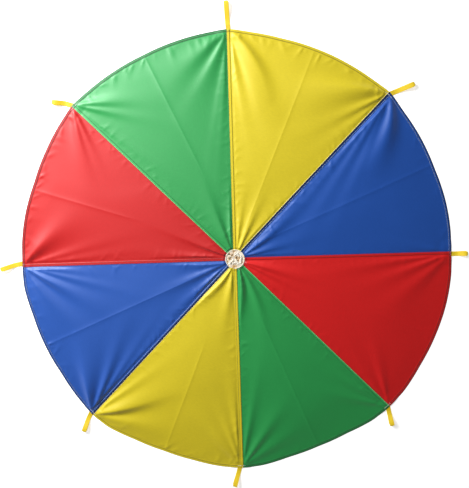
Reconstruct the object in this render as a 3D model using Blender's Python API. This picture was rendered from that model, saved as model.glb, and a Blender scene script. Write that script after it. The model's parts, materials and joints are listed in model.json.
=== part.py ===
"""Play parachute laid out flat: eight felled gores, a netted vent and eight webbing loops on the hem.

Metres, +Z up. The origin is the middle of the vent, on the surface that the cloth lies on. Seam 0 runs
along +X and the seams are numbered anticlockwise; gore N lies between seam N and the next one.
"""

import math

import bmesh
import bpy
from mathutils import Vector

# The canopy as it is laid out
CANOPY_RADIUS = 0.9144
CORNER_PROUD = 0.0150
GORE_NAMES = (
    "gore_blue_right",
    "gore_yellow_top",
    "gore_green_top",
    "gore_red_left",
    "gore_blue_left",
    "gore_yellow_bottom",
    "gore_green_bottom",
    "gore_red_right",
)
GORE_COUNT = len(GORE_NAMES)
GORE_ANGLE = math.tau / GORE_COUNT
# How far each seam lies drawn out or slack on the floor, beside the nominal reach, and how far it has turned
SEAM_REACH_SHARES = (0.979, 1.007, 1.015, 1.001, 0.980, 1.008, 1.007, 1.004)
SEAM_TURN_DEGREES = (0.0, 0.45, -0.2, -0.5, 0.1, 0.7, 0.0, -0.9)
# The reach of each gore's hem at stations across the gore, anticlockwise between its two corners
HEM_STATION_SHARES = (0.1, 0.3, 0.5, 0.7, 0.9)
HEM_REACH_SHARES = (
    (0.997, 0.997, 0.995, 1.003, 1.011),
    (1.017, 1.013, 1.011, 1.011, 1.021),
    (1.024, 1.015, 1.008, 1.009, 1.013),
    (1.011, 0.999, 0.991, 0.996, 0.998),
    (1.005, 0.995, 0.998, 1.001, 1.017),
    (1.030, 1.010, 1.003, 1.008, 1.022),
    (1.022, 1.001, 0.995, 1.000, 1.021),
    (1.022, 1.009, 1.006, 1.005, 1.002),
)

# Cloth, seams and hem
CLOTH_THICKNESS = 0.00030
PIECE_GAP = 0.00030
SEAM_BAND_WIDTH = 0.0120
SEAM_BAND_THICKNESS = 0.00050
TONGUE_CLEARANCE = 0.0012
HEM_WIDTH = 0.0120
HEM_EXTRA_THICKNESS = 0.00050
PLY_STEP_RUN = 0.00060
SEAM_FLAT_WIDTH = 0.0200
# Rows of a gore's grid on its hem, columns on its seam band and on its tongue in the neighbour's band
HEM_ROWS = 2
BAND_COLUMNS = 2
TONGUE_COLUMNS = 2

# Main folds of the laid cloth
CREASE_HEIGHT = 0.0022
CREASE_HALF_WIDTH = 0.0100
CREASE_ANGLE_SHARE = 0.08
CORNER_FOLD_HEIGHT = 0.0060
CORNER_FOLD_REACH = 0.1800
CORNER_FOLDS_PER_TURN = 8.0
VENT_FOLD_HEIGHT = 0.0032
VENT_FOLD_REACH = 0.1400
VENT_FOLDS_PER_GORE = 2.0
FOLD_EASE_RUN = 0.0500
FOLD_STRENGTH_SHARES = (1.00, 0.85, 0.95, 0.80, 1.00, 0.90, 0.95, 0.85)
ROW_SHARES = (0.10, 0.24, 0.40, 0.57, 0.74, 0.89)
COLUMN_SHARES = (0.22, 0.60)
SEAM_FLAT_ANGLE_SHARE = 0.70

# Vent, its net and its binding
VENT_OUTER_RADIUS = 0.0415
BINDING_WIDTH = 0.0060
BINDING_THICKNESS = 0.00060
BINDING_EDGE_SHARE = 0.30
BINDING_STEPS = 48
GORE_UNDER_BINDING = 0.0040
NET_THICKNESS = 0.00050
NET_PITCH = 0.0080
NET_STRAND = 0.0012
NET_UNDER_GORES = 0.0055
NET_RIM_STEPS = 40
SMALLEST_NET_GAP_SHARE = 0.22
VENT_LIFT_MARGIN = 0.0045
VENT_LIFT_RUN = 0.0160

# Webbing loops
HANDLE_NAMES = (
    "right",
    "upper_right",
    "top",
    "upper_left",
    "left",
    "lower_left",
    "bottom",
    "lower_right",
)
WEBBING_WIDTH = 0.0200
WEBBING_THICKNESS = 0.00100
LOOP_REACH = 0.0900
LOOP_REACH_SHARES = (0.61, 0.97, 1.07, 0.79, 0.94, 0.86, 0.85, 0.77)
LOOP_HEIGHT = 0.0180
LOOP_JOINED_LENGTH = 0.0100
LOOP_LEG_STEPS = 9
LOOP_TIP_STEPS = 8
EYE_START_SHARE = 0.17
# How far beside its seam each loop is sewn, as a share of the webbing's width, anticlockwise
SEWN_ASIDE_SHARES = (-0.24, -0.24, 0.03, 0.10, -0.45, -0.24, -0.45, -0.28)
# Turn of each loop in the plane of the floor, in degrees: as sewn into the hem, and on from there
SEWN_TURN_DEGREES = (1.2, -25.2, 3.4, 27.2, 8.6, 16.2, -16.0, -32.2)
LAY_TURN_DEGREES = (0.0, 0.0, -1.0, 13.0, 7.5, 8.0, -2.0, -1.0)
LAY_TURN_START = 0.0060
LAY_TURN_LENGTH = 0.0260
HINGE_OUTSIDE_HEM = 0.0120
TAIL_UNDER_HEM = 0.0140
FLEX_TAPER_LENGTH = 0.0052
FLEX_NOSE_HALF_THICKNESS = 0.00022
TAIL_NOSE_DISTANCE = 0.00115
TAIL_NOSE_HALF_THICKNESS = 0.00014
TAIL_END_CHAMFER = 0.00050

# Lift of the cloth over the sewn webbing ends
CORNER_LIFT_DEPTH = 0.0260
CORNER_LIFT_RUN = 0.0260
CORNER_LIFT_SPREAD = 0.0400

RED, GREEN, BLUE, YELLOW = "red", "green", "blue", "yellow"
CLOTH_COLOURS = {
    RED: (0.570, 0.025, 0.025),
    GREEN: (0.030, 0.300, 0.080),
    BLUE: (0.020, 0.075, 0.350),
    YELLOW: (0.700, 0.550, 0.045),
}
WEBBING_COLOUR = (0.880, 0.640, 0.020)
NET_COLOUR = (0.800, 0.720, 0.580)
BINDING_COLOUR = (0.860, 0.800, 0.700)
CLOTH_ROUGHNESS = 0.42
WEBBING_ROUGHNESS = 0.62
NET_ROUGHNESS = 0.35
# Edges that turn more than this are drawn sharp
CLOTH_EDGE_DEGREES = 30.0
WEBBING_EDGE_DEGREES = 35.0


def clear_scene():
    for old in list(bpy.data.objects):
        bpy.data.objects.remove(old, do_unlink=True)


def smooth_step(share):
    held = min(1.0, max(0.0, share))
    return held * held * (3.0 - 2.0 * held)


def fall_off(distance, flat, run):
    """One up to the distance flat, then straight down to nothing over run."""
    return min(1.0, max(0.0, (flat + run - distance) / run))


def add_object(name, mesh, colour, roughness):
    material = bpy.data.materials.new(name + "_finish")
    material.use_nodes = True
    shader = material.node_tree.nodes["Principled BSDF"]
    shader.inputs["Base Color"].default_value = (*colour, 1.0)
    shader.inputs["Roughness"].default_value = roughness
    shader.inputs["Metallic"].default_value = 0.0
    mesh.materials.append(material)
    thing = bpy.data.objects.new(name, mesh)
    bpy.context.scene.collection.objects.link(thing)
    return thing


def mesh_from(bm, name):
    bmesh.ops.recalc_face_normals(bm, faces=bm.faces[:])
    mesh = bpy.data.meshes.new(name)
    bm.to_mesh(mesh)
    bm.free()
    return mesh


def seam_angle(seam):
    """Angle of a seam as it lies. After the last seam the count goes on round."""
    return seam * GORE_ANGLE + math.radians(SEAM_TURN_DEGREES[seam % GORE_COUNT])


def corner_radius(seam):
    return (CANOPY_RADIUS + CORNER_PROUD) * SEAM_REACH_SHARES[seam % GORE_COUNT]


def hem_radius(theta):
    """Distance from the middle of the vent to the edge of the hem, at an angle in any gore."""
    turned = (theta - seam_angle(0)) % math.tau + seam_angle(0)
    gore = sum(turned >= seam_angle(seam) for seam in range(1, GORE_COUNT))
    across = (turned - seam_angle(gore)) / (seam_angle(gore + 1) - seam_angle(gore))
    stations = [0.0, *HEM_STATION_SHARES, 1.0]
    reaches = [CANOPY_RADIUS * share for share in HEM_REACH_SHARES[gore]]
    reaches = [corner_radius(gore), *reaches, corner_radius(gore + 1)]
    near = sum(across >= share for share in HEM_STATION_SHARES)
    past = (across - stations[near]) / (stations[near + 1] - stations[near])
    return reaches[near] + past * (reaches[near + 1] - reaches[near])


def vent_lift_radius():
    """Out to here the cloth lies up on the rim of the net."""
    return VENT_OUTER_RADIUS + VENT_LIFT_MARGIN


def gore_inner_radius():
    return VENT_OUTER_RADIUS - GORE_UNDER_BINDING


def row_radii(theta):
    """Where the rows of a gore's grid cross the given angle, from the vent out to the hem."""
    rim = hem_radius(theta)
    lifted = vent_lift_radius()
    inner = [gore_inner_radius(), lifted, lifted + VENT_LIFT_RUN]
    hem_line = rim - HEM_WIDTH
    lift_line = rim - CORNER_LIFT_DEPTH
    outer = [lift_line - CORNER_LIFT_RUN, lift_line, hem_line - PLY_STEP_RUN, hem_line, rim]
    between = [inner[-1] + share * (outer[0] - inner[-1]) for share in ROW_SHARES]
    return inner + between + outer


def column_angles(gore, row):
    """Angles of a gore's columns on one row: lines parallel to each seam, then shares of what is between."""
    start = seam_angle(gore)
    end = seam_angle(gore + 1)
    half = (end - start) / 2
    middle = start + half
    half_band = SEAM_BAND_WIDTH / 2
    half_step = PLY_STEP_RUN / 2
    past_band = half_band + PIECE_GAP
    flat_after = max(SEAM_FLAT_WIDTH, past_band + 2 * PLY_STEP_RUN)
    flat_before = max(SEAM_FLAT_WIDTH, half_band + 2 * PLY_STEP_RUN)

    def turned(distance, theta, most_share=1.0):
        angle = math.asin(distance / row_radii(theta)[row])
        return min(angle, most_share * half)

    first = [
        start - turned(half_band - TONGUE_CLEARANCE, start),
        start + turned(past_band, start),
        start + turned(past_band + PLY_STEP_RUN, start),
        start + turned(flat_after, start, SEAM_FLAT_ANGLE_SHARE),
    ]
    last = [
        end - turned(flat_before, end, SEAM_FLAT_ANGLE_SHARE),
        end - turned(half_band + half_step, end),
        end - turned(half_band - half_step, end),
        end + turned(half_band, end),
    ]
    crease = turned(CREASE_HALF_WIDTH, middle, CREASE_ANGLE_SHARE)
    before = middle - crease
    after = middle + crease
    rise = [first[-1] + share * (before - first[-1]) for share in COLUMN_SHARES]
    fall = [last[0] + share * (after - last[0]) for share in reversed(COLUMN_SHARES)]
    return first + rise + [before, middle, after] + fall + last


def lift_of(radius, theta):
    """Height of the cloth's underside where it lies over the net's rim or over a sewn webbing end."""
    seam = round(theta / GORE_ANGLE)
    aside = abs(radius * math.sin(theta - seam_angle(seam)))
    depth = hem_radius(theta) - radius
    over_net = (NET_THICKNESS + PIECE_GAP) * fall_off(radius, vent_lift_radius(), VENT_LIFT_RUN)
    over_tail = 2 * WEBBING_THICKNESS + PIECE_GAP
    over_tail *= fall_off(depth, CORNER_LIFT_DEPTH, CORNER_LIFT_RUN)
    over_tail *= fall_off(aside, SEAM_FLAT_WIDTH, CORNER_LIFT_SPREAD)
    return over_net + over_tail


def folds_of(gore, radius, theta):
    """Height of the folds: a crease down the middle, a fan from each hem corner and one from the vent."""
    start = seam_angle(gore)
    swept = seam_angle(gore + 1) - start
    middle = start + swept / 2
    along = theta - start
    nearest = min(radius * math.sin(along), radius * math.sin(swept - along))
    depth = hem_radius(theta) - radius
    clear_of_seam = smooth_step((nearest - SEAM_FLAT_WIDTH) / FOLD_EASE_RUN)
    clear_of_hem = smooth_step((depth - CORNER_LIFT_DEPTH) / FOLD_EASE_RUN)
    clear_of_vent = smooth_step((radius - vent_lift_radius()) / FOLD_EASE_RUN)

    off_crease = abs(radius * math.sin(theta - middle))
    crease = CREASE_HEIGHT * max(0.0, 1.0 - off_crease / CREASE_HALF_WIDTH)

    fans = 0.0
    point = Vector((radius * math.cos(theta), radius * math.sin(theta)))
    for seam in (gore, gore + 1):
        outward = Vector((math.cos(seam_angle(seam)), math.sin(seam_angle(seam))))
        from_corner = point - outward * corner_radius(seam)
        distance = from_corner.length / CORNER_FOLD_REACH
        swing = abs(from_corner.angle(-outward, 0.0)) if from_corner.length else 0.0
        ripple = math.sin(swing * CORNER_FOLDS_PER_TURN / 2) ** 2
        fans += CORNER_FOLD_HEIGHT * ripple * distance * math.exp(1.0 - distance)

    outside = radius / VENT_FOLD_REACH
    spokes = math.sin(math.pi * VENT_FOLDS_PER_GORE * along / swept) ** 2
    spokes *= VENT_FOLD_HEIGHT * outside * math.exp(1.0 - outside)
    folds = (fans + spokes) * FOLD_STRENGTH_SHARES[gore] * clear_of_seam
    return (folds + crease) * clear_of_hem * clear_of_vent


def gore_surfaces(gore):
    """Underside and upper side of a gore, as rows of points."""
    under, upper = [], []
    rows = len(row_radii(0.0))
    for row in range(rows):
        angles = column_angles(gore, row)
        low_row, high_row = [], []
        for column, theta in enumerate(angles):
            radius = row_radii(theta)[row]
            on_band = column >= len(angles) - BAND_COLUMNS
            low = lift_of(radius, theta)
            if TONGUE_COLUMNS <= column < len(angles) - BAND_COLUMNS:
                low += folds_of(gore, radius, theta)
            high = low + CLOTH_THICKNESS
            if on_band:
                low += CLOTH_THICKNESS + PIECE_GAP
                high = low + SEAM_BAND_THICKNESS
            if row >= rows - HEM_ROWS and column >= TONGUE_COLUMNS:
                high += HEM_EXTRA_THICKNESS
            flat = (radius * math.cos(theta), radius * math.sin(theta))
            low_row.append((*flat, low))
            high_row.append((*flat, high))
        under.append(low_row)
        upper.append(high_row)
    return under, upper


def make_gore(gore):
    name = GORE_NAMES[gore]
    under, upper = gore_surfaces(gore)
    bm = bmesh.new()
    low = [[bm.verts.new(point) for point in row] for row in under]
    high = [[bm.verts.new(point) for point in row] for row in upper]
    rows = len(low)
    columns = len(low[0])
    for row in range(rows - 1):
        for column in range(columns - 1):
            for grid in (low, high):
                near, far = grid[row][column], grid[row + 1][column + 1]
                bm.faces.new((near, grid[row][column + 1], far))
                bm.faces.new((near, far, grid[row + 1][column]))
    around = [(0, column) for column in range(columns)]
    around += [(row, columns - 1) for row in range(1, rows)]
    around += [(rows - 1, column) for column in range(columns - 2, -1, -1)]
    around += [(row, 0) for row in range(rows - 2, 0, -1)]
    for here, there in zip(around, around[1:] + around[:1]):
        (r0, c0), (r1, c1) = here, there
        bm.faces.new((low[r0][c0], low[r1][c1], high[r1][c1], high[r0][c0]))
    colour = next(shade for word, shade in CLOTH_COLOURS.items() if word in name)
    mesh = mesh_from(bm, name)
    mesh.shade_smooth()
    mesh.set_sharp_from_angle(angle=math.radians(CLOTH_EDGE_DEGREES))
    return add_object(name, mesh, colour, CLOTH_ROUGHNESS)


def clipped(corners, radius, steps):
    """A convex outline cut back to a circle round the origin, drawn with the given number of sides."""
    inner = radius * math.cos(math.pi / steps)
    for step in range(steps):
        angle = math.tau * (step + 0.5) / steps
        outward = Vector((math.cos(angle), math.sin(angle)))
        kept = []
        for here, there in zip(corners, corners[1:] + corners[:1]):
            depth_here = inner - here.dot(outward)
            depth_there = inner - there.dot(outward)
            if depth_here >= 0.0:
                kept.append(here)
            if (depth_here >= 0.0) != (depth_there >= 0.0):
                kept.append(here.lerp(there, depth_here / (depth_here - depth_there)))
        corners = kept
        if not corners:
            return []
    return corners


def area_of(corners):
    return sum(a.cross(b) for a, b in zip(corners, corners[1:] + corners[:1])) / 2


def filled_plate(outlines, thickness, name):
    """A flat plate with holes: the first outline is its edge. It stands on z = 0."""
    bm = bmesh.new()
    for outline in outlines:
        points = [bm.verts.new((point[0], point[1], 0.0)) for point in outline]
        for here, there in zip(points, points[1:] + points[:1]):
            bm.edges.new((here, there))
    bmesh.ops.triangle_fill(bm, use_beauty=True, edges=bm.edges[:])
    grown = bmesh.ops.extrude_face_region(bm, geom=bm.faces[:])["geom"]
    raised = [part for part in grown if isinstance(part, bmesh.types.BMVert)]
    bmesh.ops.translate(bm, verts=raised, vec=(0.0, 0.0, thickness))
    return mesh_from(bm, name)


def make_vent_net():
    """A square mesh of flat strands, joined to the rim that is sewn under the ends of the gores."""
    rim_radius = gore_inner_radius() + NET_UNDER_GORES - PIECE_GAP
    open_radius = VENT_OUTER_RADIUS - BINDING_WIDTH
    rim = []
    for step in range(NET_RIM_STEPS):
        angle = math.tau * step / NET_RIM_STEPS
        rim.append(Vector((math.cos(angle), math.sin(angle))) * rim_radius)
    half_gap = (NET_PITCH - NET_STRAND) / 2
    square = [Vector(corner) * half_gap for corner in ((-1, -1), (1, -1), (1, 1), (-1, 1))]
    reach = int(open_radius / NET_PITCH) + 1
    gaps = []
    for across in range(-reach, reach + 1):
        for up in range(-reach, reach + 1):
            middle = Vector((across + 0.5, up + 0.5)) * NET_PITCH
            gap = clipped([middle + corner for corner in square], open_radius, NET_RIM_STEPS)
            if gap and area_of(gap) > SMALLEST_NET_GAP_SHARE * (2 * half_gap) ** 2:
                gaps.append(gap)
    mesh = filled_plate([rim] + gaps, NET_THICKNESS, "vent_net")
    print("net gaps:", len(gaps))
    return add_object("vent_net", mesh, NET_COLOUR, NET_ROUGHNESS)


def make_vent_binding():
    """The tape ring, turned from its section. It lies over the seam bands where they run under it."""
    base = NET_THICKNESS + CLOTH_THICKNESS + SEAM_BAND_THICKNESS + 3 * PIECE_GAP
    edge = BINDING_EDGE_SHARE * BINDING_THICKNESS
    inside = VENT_OUTER_RADIUS - BINDING_WIDTH
    top = base + BINDING_THICKNESS
    section = [
        (inside, base + edge),
        (inside + edge, base),
        (VENT_OUTER_RADIUS - edge, base),
        (VENT_OUTER_RADIUS, base + edge),
        (VENT_OUTER_RADIUS - edge, top),
        (inside + edge, top),
    ]
    bm = bmesh.new()
    points = [bm.verts.new((radius, 0.0, height)) for radius, height in section]
    for here, there in zip(points, points[1:] + points[:1]):
        bm.edges.new((here, there))
    bmesh.ops.spin(
        bm,
        geom=bm.verts[:] + bm.edges[:],
        cent=(0.0, 0.0, 0.0),
        axis=(0.0, 0.0, 1.0),
        angle=math.tau,
        steps=BINDING_STEPS,
        use_merge=True,
    )
    mesh = mesh_from(bm, "vent_binding")
    mesh.shade_smooth()
    mesh.set_sharp_from_angle(angle=math.radians(CLOTH_EDGE_DEGREES))
    return add_object("vent_binding", mesh, BINDING_COLOUR, NET_ROUGHNESS)


def laid(along, across, turn):
    """A point of a loop, turned in the plane of the floor as the webbing swings aside."""
    if along <= LAY_TURN_START or turn == 0.0:
        return Vector((along, across))
    bend_radius = LAY_TURN_LENGTH / turn
    swing = turn * min(1.0, (along - LAY_TURN_START) / LAY_TURN_LENGTH)
    ahead = Vector((math.cos(swing), math.sin(swing)))
    aside = Vector((-ahead.y, ahead.x))
    centre_line = Vector((LAY_TURN_START + bend_radius * ahead.y, bend_radius * (1.0 - ahead.x)))
    past_bend = max(0.0, along - LAY_TURN_START - LAY_TURN_LENGTH)
    return centre_line + past_bend * ahead + across * aside


def webbing_solid(outlines, turn, name):
    """Outlines in the upright plane along the webbing, filled, drawn across its width, then laid."""
    bm = bmesh.new()
    for outline in outlines:
        points = [bm.verts.new((along, -WEBBING_WIDTH / 2, height)) for along, height in outline]
        for here, there in zip(points, points[1:] + points[:1]):
            bm.edges.new((here, there))
    bmesh.ops.triangle_fill(bm, use_beauty=True, edges=bm.edges[:])
    grown = bmesh.ops.extrude_face_region(bm, geom=bm.faces[:])["geom"]
    drawn = [part for part in grown if isinstance(part, bmesh.types.BMVert)]
    bmesh.ops.translate(bm, verts=drawn, vec=(0.0, WEBBING_WIDTH, 0.0))
    for vert in bm.verts:
        vert.co.xy = laid(vert.co.x, vert.co.y, turn)
    mesh = mesh_from(bm, name)
    mesh.shade_smooth()
    mesh.set_sharp_from_angle(angle=math.radians(WEBBING_EDGE_DEGREES))
    return mesh


def loop_outlines(reach):
    """Outer outline and eye of a loop. Height is from the hinge, which is half way up the two plies."""
    ply = WEBBING_THICKNESS
    tip_radius = LOOP_HEIGHT / 2
    tip_middle = reach - tip_radius
    opening = tip_middle - LOOP_JOINED_LENGTH
    rise = LOOP_HEIGHT - 2 * ply

    def upper_height(along):
        return ply + rise * smooth_step((along - LOOP_JOINED_LENGTH) / opening)

    def slope(along):
        share = min(1.0, max(0.0, (along - LOOP_JOINED_LENGTH) / opening))
        return 6.0 * share * (1.0 - share) * rise / opening

    def tip(radius):
        points = []
        for step in range(LOOP_TIP_STEPS + 1):
            angle = math.pi * (step / LOOP_TIP_STEPS - 0.5)
            height = tip_radius - ply + radius * math.sin(angle)
            points.append((tip_middle + radius * math.cos(angle), height))
        return points

    nose = FLEX_NOSE_HALF_THICKNESS
    legs = [FLEX_TAPER_LENGTH]
    legs += [LOOP_JOINED_LENGTH + opening * step / LOOP_LEG_STEPS for step in range(LOOP_LEG_STEPS)]
    outer = [(-nose, 0.0), (0.0, -nose)]
    outer += [(along, -ply) for along in legs]
    outer += tip(tip_radius)
    outer += [(along, upper_height(along)) for along in reversed(legs)]
    outer += [(0.0, nose)]

    eye_start = LOOP_JOINED_LENGTH + EYE_START_SHARE * opening
    eye_length = tip_middle - eye_start
    stations = [eye_start + eye_length * step / LOOP_LEG_STEPS for step in range(LOOP_LEG_STEPS)]
    eye = [(along, 0.0) for along in stations]
    eye += tip(tip_radius - ply)
    for along in reversed(stations):
        eye.append((along, upper_height(along) - ply * math.hypot(1.0, slope(along))))
    return [outer, eye]


def tail_outline(length):
    """The two plies sewn down under the hem, thinned where they flex at the hinge."""
    ply = WEBBING_THICKNESS
    nose = TAIL_NOSE_HALF_THICKNESS
    chamfer = TAIL_END_CHAMFER
    half = [
        (-TAIL_NOSE_DISTANCE, nose),
        (-FLEX_TAPER_LENGTH, ply),
        (-length + chamfer, ply),
        (-length, ply - chamfer),
    ]
    return half + [(along, -height) for along, height in reversed(half)]


def hinge_place(seam):
    """Where a loop's hinge line crosses the middle of its webbing, and the way the webbing heads there."""
    outward = Vector((math.cos(seam_angle(seam)), math.sin(seam_angle(seam)), 0.0))
    aside = Vector((-outward.y, outward.x, 0.0)) * WEBBING_WIDTH * SEWN_ASIDE_SHARES[seam]
    heading = seam_angle(seam) + math.radians(SEWN_TURN_DEGREES[seam])
    ahead = Vector((math.cos(heading), math.sin(heading), 0.0))
    hinge = outward * corner_radius(seam) + aside + ahead * HINGE_OUTSIDE_HEM
    hinge.z = WEBBING_THICKNESS
    return hinge, heading


def make_handle(seam):
    """A loop, with its origin on its hinge, and the sewn end that it hinges on."""
    hinge, heading = hinge_place(seam)
    name = HANDLE_NAMES[seam]
    reach = LOOP_REACH * LOOP_REACH_SHARES[seam]
    lay_turn = math.radians(LAY_TURN_DEGREES[seam])
    loop = webbing_solid(loop_outlines(reach), lay_turn, "handle_" + name)
    sewn_length = HINGE_OUTSIDE_HEM + TAIL_UNDER_HEM
    tail = webbing_solid([tail_outline(sewn_length)], 0.0, "handle_tail_" + name)
    for mesh in (loop, tail):
        thing = add_object(mesh.name, mesh, WEBBING_COLOUR, WEBBING_ROUGHNESS)
        thing.location = hinge
        thing.rotation_euler = (0.0, 0.0, heading)


def build():
    clear_scene()
    for gore in range(GORE_COUNT):
        make_gore(gore)
    make_vent_net()
    make_vent_binding()
    for seam in range(GORE_COUNT):
        make_handle(seam)


build()
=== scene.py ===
# %% [markdown]
# # A play parachute laid out on a floor
#
# A play parachute is eight wedges of thin glossy cloth, called gores, felled together round a small netted
# vent. A webbing loop comes out of the hem at the end of each seam. Here it lies flat and is seen from above,
# so almost everything that the eye reads is a low fold, a seam step or a line of thread.
#
# The imported CAD model is loaded first and is never changed. The lines of the seams, the edge of the hem, the
# edge of the vent and the hinges are measured on it. The widths of bands and hem, the straps, the net and the
# binding repeat its sizes, or come near them, as plain numbers, so a change of those there isn't followed
# here. The folds and the finishes are given one by one. The cloth, thread, net and binding ride on the canopy
# body; the straps ride on none.

# %% Load the imported frame
import json
import math

import bpy
import numpy as np
from mathutils import Matrix, Vector


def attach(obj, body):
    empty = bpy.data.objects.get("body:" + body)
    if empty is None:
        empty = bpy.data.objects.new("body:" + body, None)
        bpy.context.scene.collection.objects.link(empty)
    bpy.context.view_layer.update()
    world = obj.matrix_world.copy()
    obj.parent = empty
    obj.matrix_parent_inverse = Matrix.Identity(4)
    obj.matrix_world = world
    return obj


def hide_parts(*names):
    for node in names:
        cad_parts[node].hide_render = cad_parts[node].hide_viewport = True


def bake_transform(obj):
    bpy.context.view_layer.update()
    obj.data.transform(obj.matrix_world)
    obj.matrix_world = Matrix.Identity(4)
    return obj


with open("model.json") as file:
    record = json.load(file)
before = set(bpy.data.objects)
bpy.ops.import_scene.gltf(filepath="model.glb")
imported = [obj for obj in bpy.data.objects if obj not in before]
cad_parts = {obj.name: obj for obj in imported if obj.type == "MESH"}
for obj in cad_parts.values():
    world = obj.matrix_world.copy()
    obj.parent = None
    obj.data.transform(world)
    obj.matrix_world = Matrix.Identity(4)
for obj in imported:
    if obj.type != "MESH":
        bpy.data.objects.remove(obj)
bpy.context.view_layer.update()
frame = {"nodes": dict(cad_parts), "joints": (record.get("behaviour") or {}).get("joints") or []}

# %% [markdown]
# ## The camera
#
# The photographer stood over the cloth, a little towards its top edge. A short lens close by would draw the
# near edge larger than the far one, and a very long lens would draw no such difference. A moderate lens from
# standing height gives the outline that is wanted, so the camera comes first and everything is judged by it.

# %% Camera over the cloth
CAMERA_PLACE = (0.0616, 0.3502, 2.4)
CAMERA_TURN_DEGREES = (-6.832, 1.248, -1.89)
LENS_MM = 42.1


def new_object(name, data):
    made = bpy.data.objects.new(name, data)
    bpy.context.scene.collection.objects.link(made)
    return made


camera_data = bpy.data.cameras.new("camera")
camera_data.lens = LENS_MM
camera = new_object("camera", camera_data)
camera.location = CAMERA_PLACE
camera.rotation_euler = [math.radians(turn) for turn in CAMERA_TURN_DEGREES]
bpy.context.scene.camera = camera
bpy.context.scene.view_settings.view_transform = "Standard"
print("camera stands", CAMERA_PLACE[2], "m over the floor")

# %% [markdown]
# ## Reading the canopy from the frame
#
# No two seams of a laid canopy lie exactly alike: each is drawn out or slack, and turned a little, and the
# hem wanders between them. All of that could be typed in again, but then the looks could drift from the CAD.
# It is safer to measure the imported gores, so that a change of size there is followed here.

# %% Number the gores round the vent
GORE_COUNT = 8
GORE_ANGLE = math.tau / GORE_COUNT
SIDES = ("right", "upper_right", "top", "upper_left", "left", "lower_left", "bottom", "lower_right")


def node_points(name):
    vertices = frame["nodes"][name].data.vertices
    points = np.empty(len(vertices) * 3)
    vertices.foreach_get("co", points)
    return points.reshape(-1, 3)


def gore_number(name):
    middle = node_points(name).mean(axis=0)
    return int(math.atan2(middle[1], middle[0]) % math.tau / GORE_ANGLE)


def turn_between(angle, target):
    return (angle - target + math.pi) % math.tau - math.pi


gore_names = sorted((name for name in frame["nodes"] if name.startswith("gore_")), key=gore_number)
print("gores, anticlockwise from the right:", ", ".join(gore_names))

# %% Measure the angle of each seam
BAND_HALF_WIDTH = 0.006


def second_seam(gore):
    """Angle of the seam at a gore's end. The gore reaches past it by half the width of its seam band."""
    points = node_points(gore_names[gore])
    middle = (gore + 0.5) * GORE_ANGLE
    angle = turn_between(np.arctan2(points[:, 1], points[:, 0]), middle)
    past = np.arcsin(BAND_HALF_WIDTH / np.hypot(points[:, 0], points[:, 1]))
    return middle + (angle - past).max()


seam_angles = [second_seam(GORE_COUNT - 1) - math.tau]
seam_angles += [second_seam(gore) for gore in range(GORE_COUNT - 1)]


def seam_angle(seam):
    return seam_angles[seam % GORE_COUNT] + math.tau * (seam // GORE_COUNT)


def middle_angle(gore):
    return (seam_angle(gore) + seam_angle(gore + 1)) / 2


print("seams lie at", [round(math.degrees(angle), 2) for angle in seam_angles], "degrees")

# %% Follow the edge of the hem all round
RIM_SEARCH_SHARE = 0.85
RIM_PROBE = math.radians(0.1)
RIM_SLACK = 0.003
RIM_SAMPLES = 1440
RIM_ROUNDING_SAMPLES = 4

cloth_points = np.concatenate([node_points(name) for name in gore_names])
cloth_radius = np.hypot(cloth_points[:, 0], cloth_points[:, 1])
outer = cloth_radius > RIM_SEARCH_SHARE * cloth_radius.max()
outer_radius = cloth_radius[outer]
outer_angle = np.arctan2(cloth_points[outer, 1], cloth_points[outer, 0])
beside = np.abs(turn_between(outer_angle[:, None], outer_angle[None, :])) < RIM_PROBE
on_rim = outer_radius > np.where(beside, outer_radius[None, :], 0.0).max(axis=1) - RIM_SLACK
rim_angles = math.tau * np.arange(RIM_SAMPLES) / RIM_SAMPLES
knot_angles = np.mod(outer_angle[on_rim], math.tau)
rim_reach = np.interp(rim_angles, knot_angles, outer_radius[on_rim], period=math.tau)
shifts = range(-RIM_ROUNDING_SAMPLES, RIM_ROUNDING_SAMPLES + 1)
rim_reach = sum(np.roll(rim_reach, shift) for shift in shifts) / len(shifts)


def rim_radius(angle):
    """Distance from the middle of the vent to the edge of the hem, at any angle."""
    return np.interp(np.mod(angle, math.tau), rim_angles, rim_reach, period=math.tau)


corner_reach = rim_radius(np.array(seam_angles))
hem_reach = rim_radius(np.array([middle_angle(gore) for gore in range(GORE_COUNT)]))
vent_reach = cloth_radius.min()
print("seam ends reach", corner_reach.round(3), "and hem middles", hem_reach.round(3))

# %% [markdown]
# ## Folds in laid cloth
#
# Cloth that is laid out by pulling on eight loops is tight along the seams and slack between them. The slack
# shows as long soft ridges that fan out from each seam end and from the vent. A cloth simulation could make
# such ridges, but not these ones in these places. So each is drawn as one ridge, by the ray that it
# follows, how tall it is and how steep its two sides are, and the cloth's height is the sum of them.

# %% A smooth step, one soft ridge and a fan of ridges
LEAST_RIDGE_WIDTH = 0.0016
FAN_LENGTH = 0.35


def smooth_step(share):
    held = np.clip(share, 0.0, 1.0)
    return held * held * (3 - 2 * held)


def ridge(x, y, start, heading, peak, width, spread, height):
    """A fold that rises from its start, is tallest after the distance peak, and fades as it widens."""
    along = (x - start[0]) * math.cos(heading) + (y - start[1]) * math.sin(heading)
    across = (y - start[1]) * math.cos(heading) - (x - start[0]) * math.sin(heading)
    ahead = np.maximum(along, 0.0)
    half = np.maximum(width + spread * ahead, LEAST_RIDGE_WIDTH)
    run = ahead / peak
    return height * run * np.exp(1 - run) * np.exp(-((across / half) ** 2))


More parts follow.
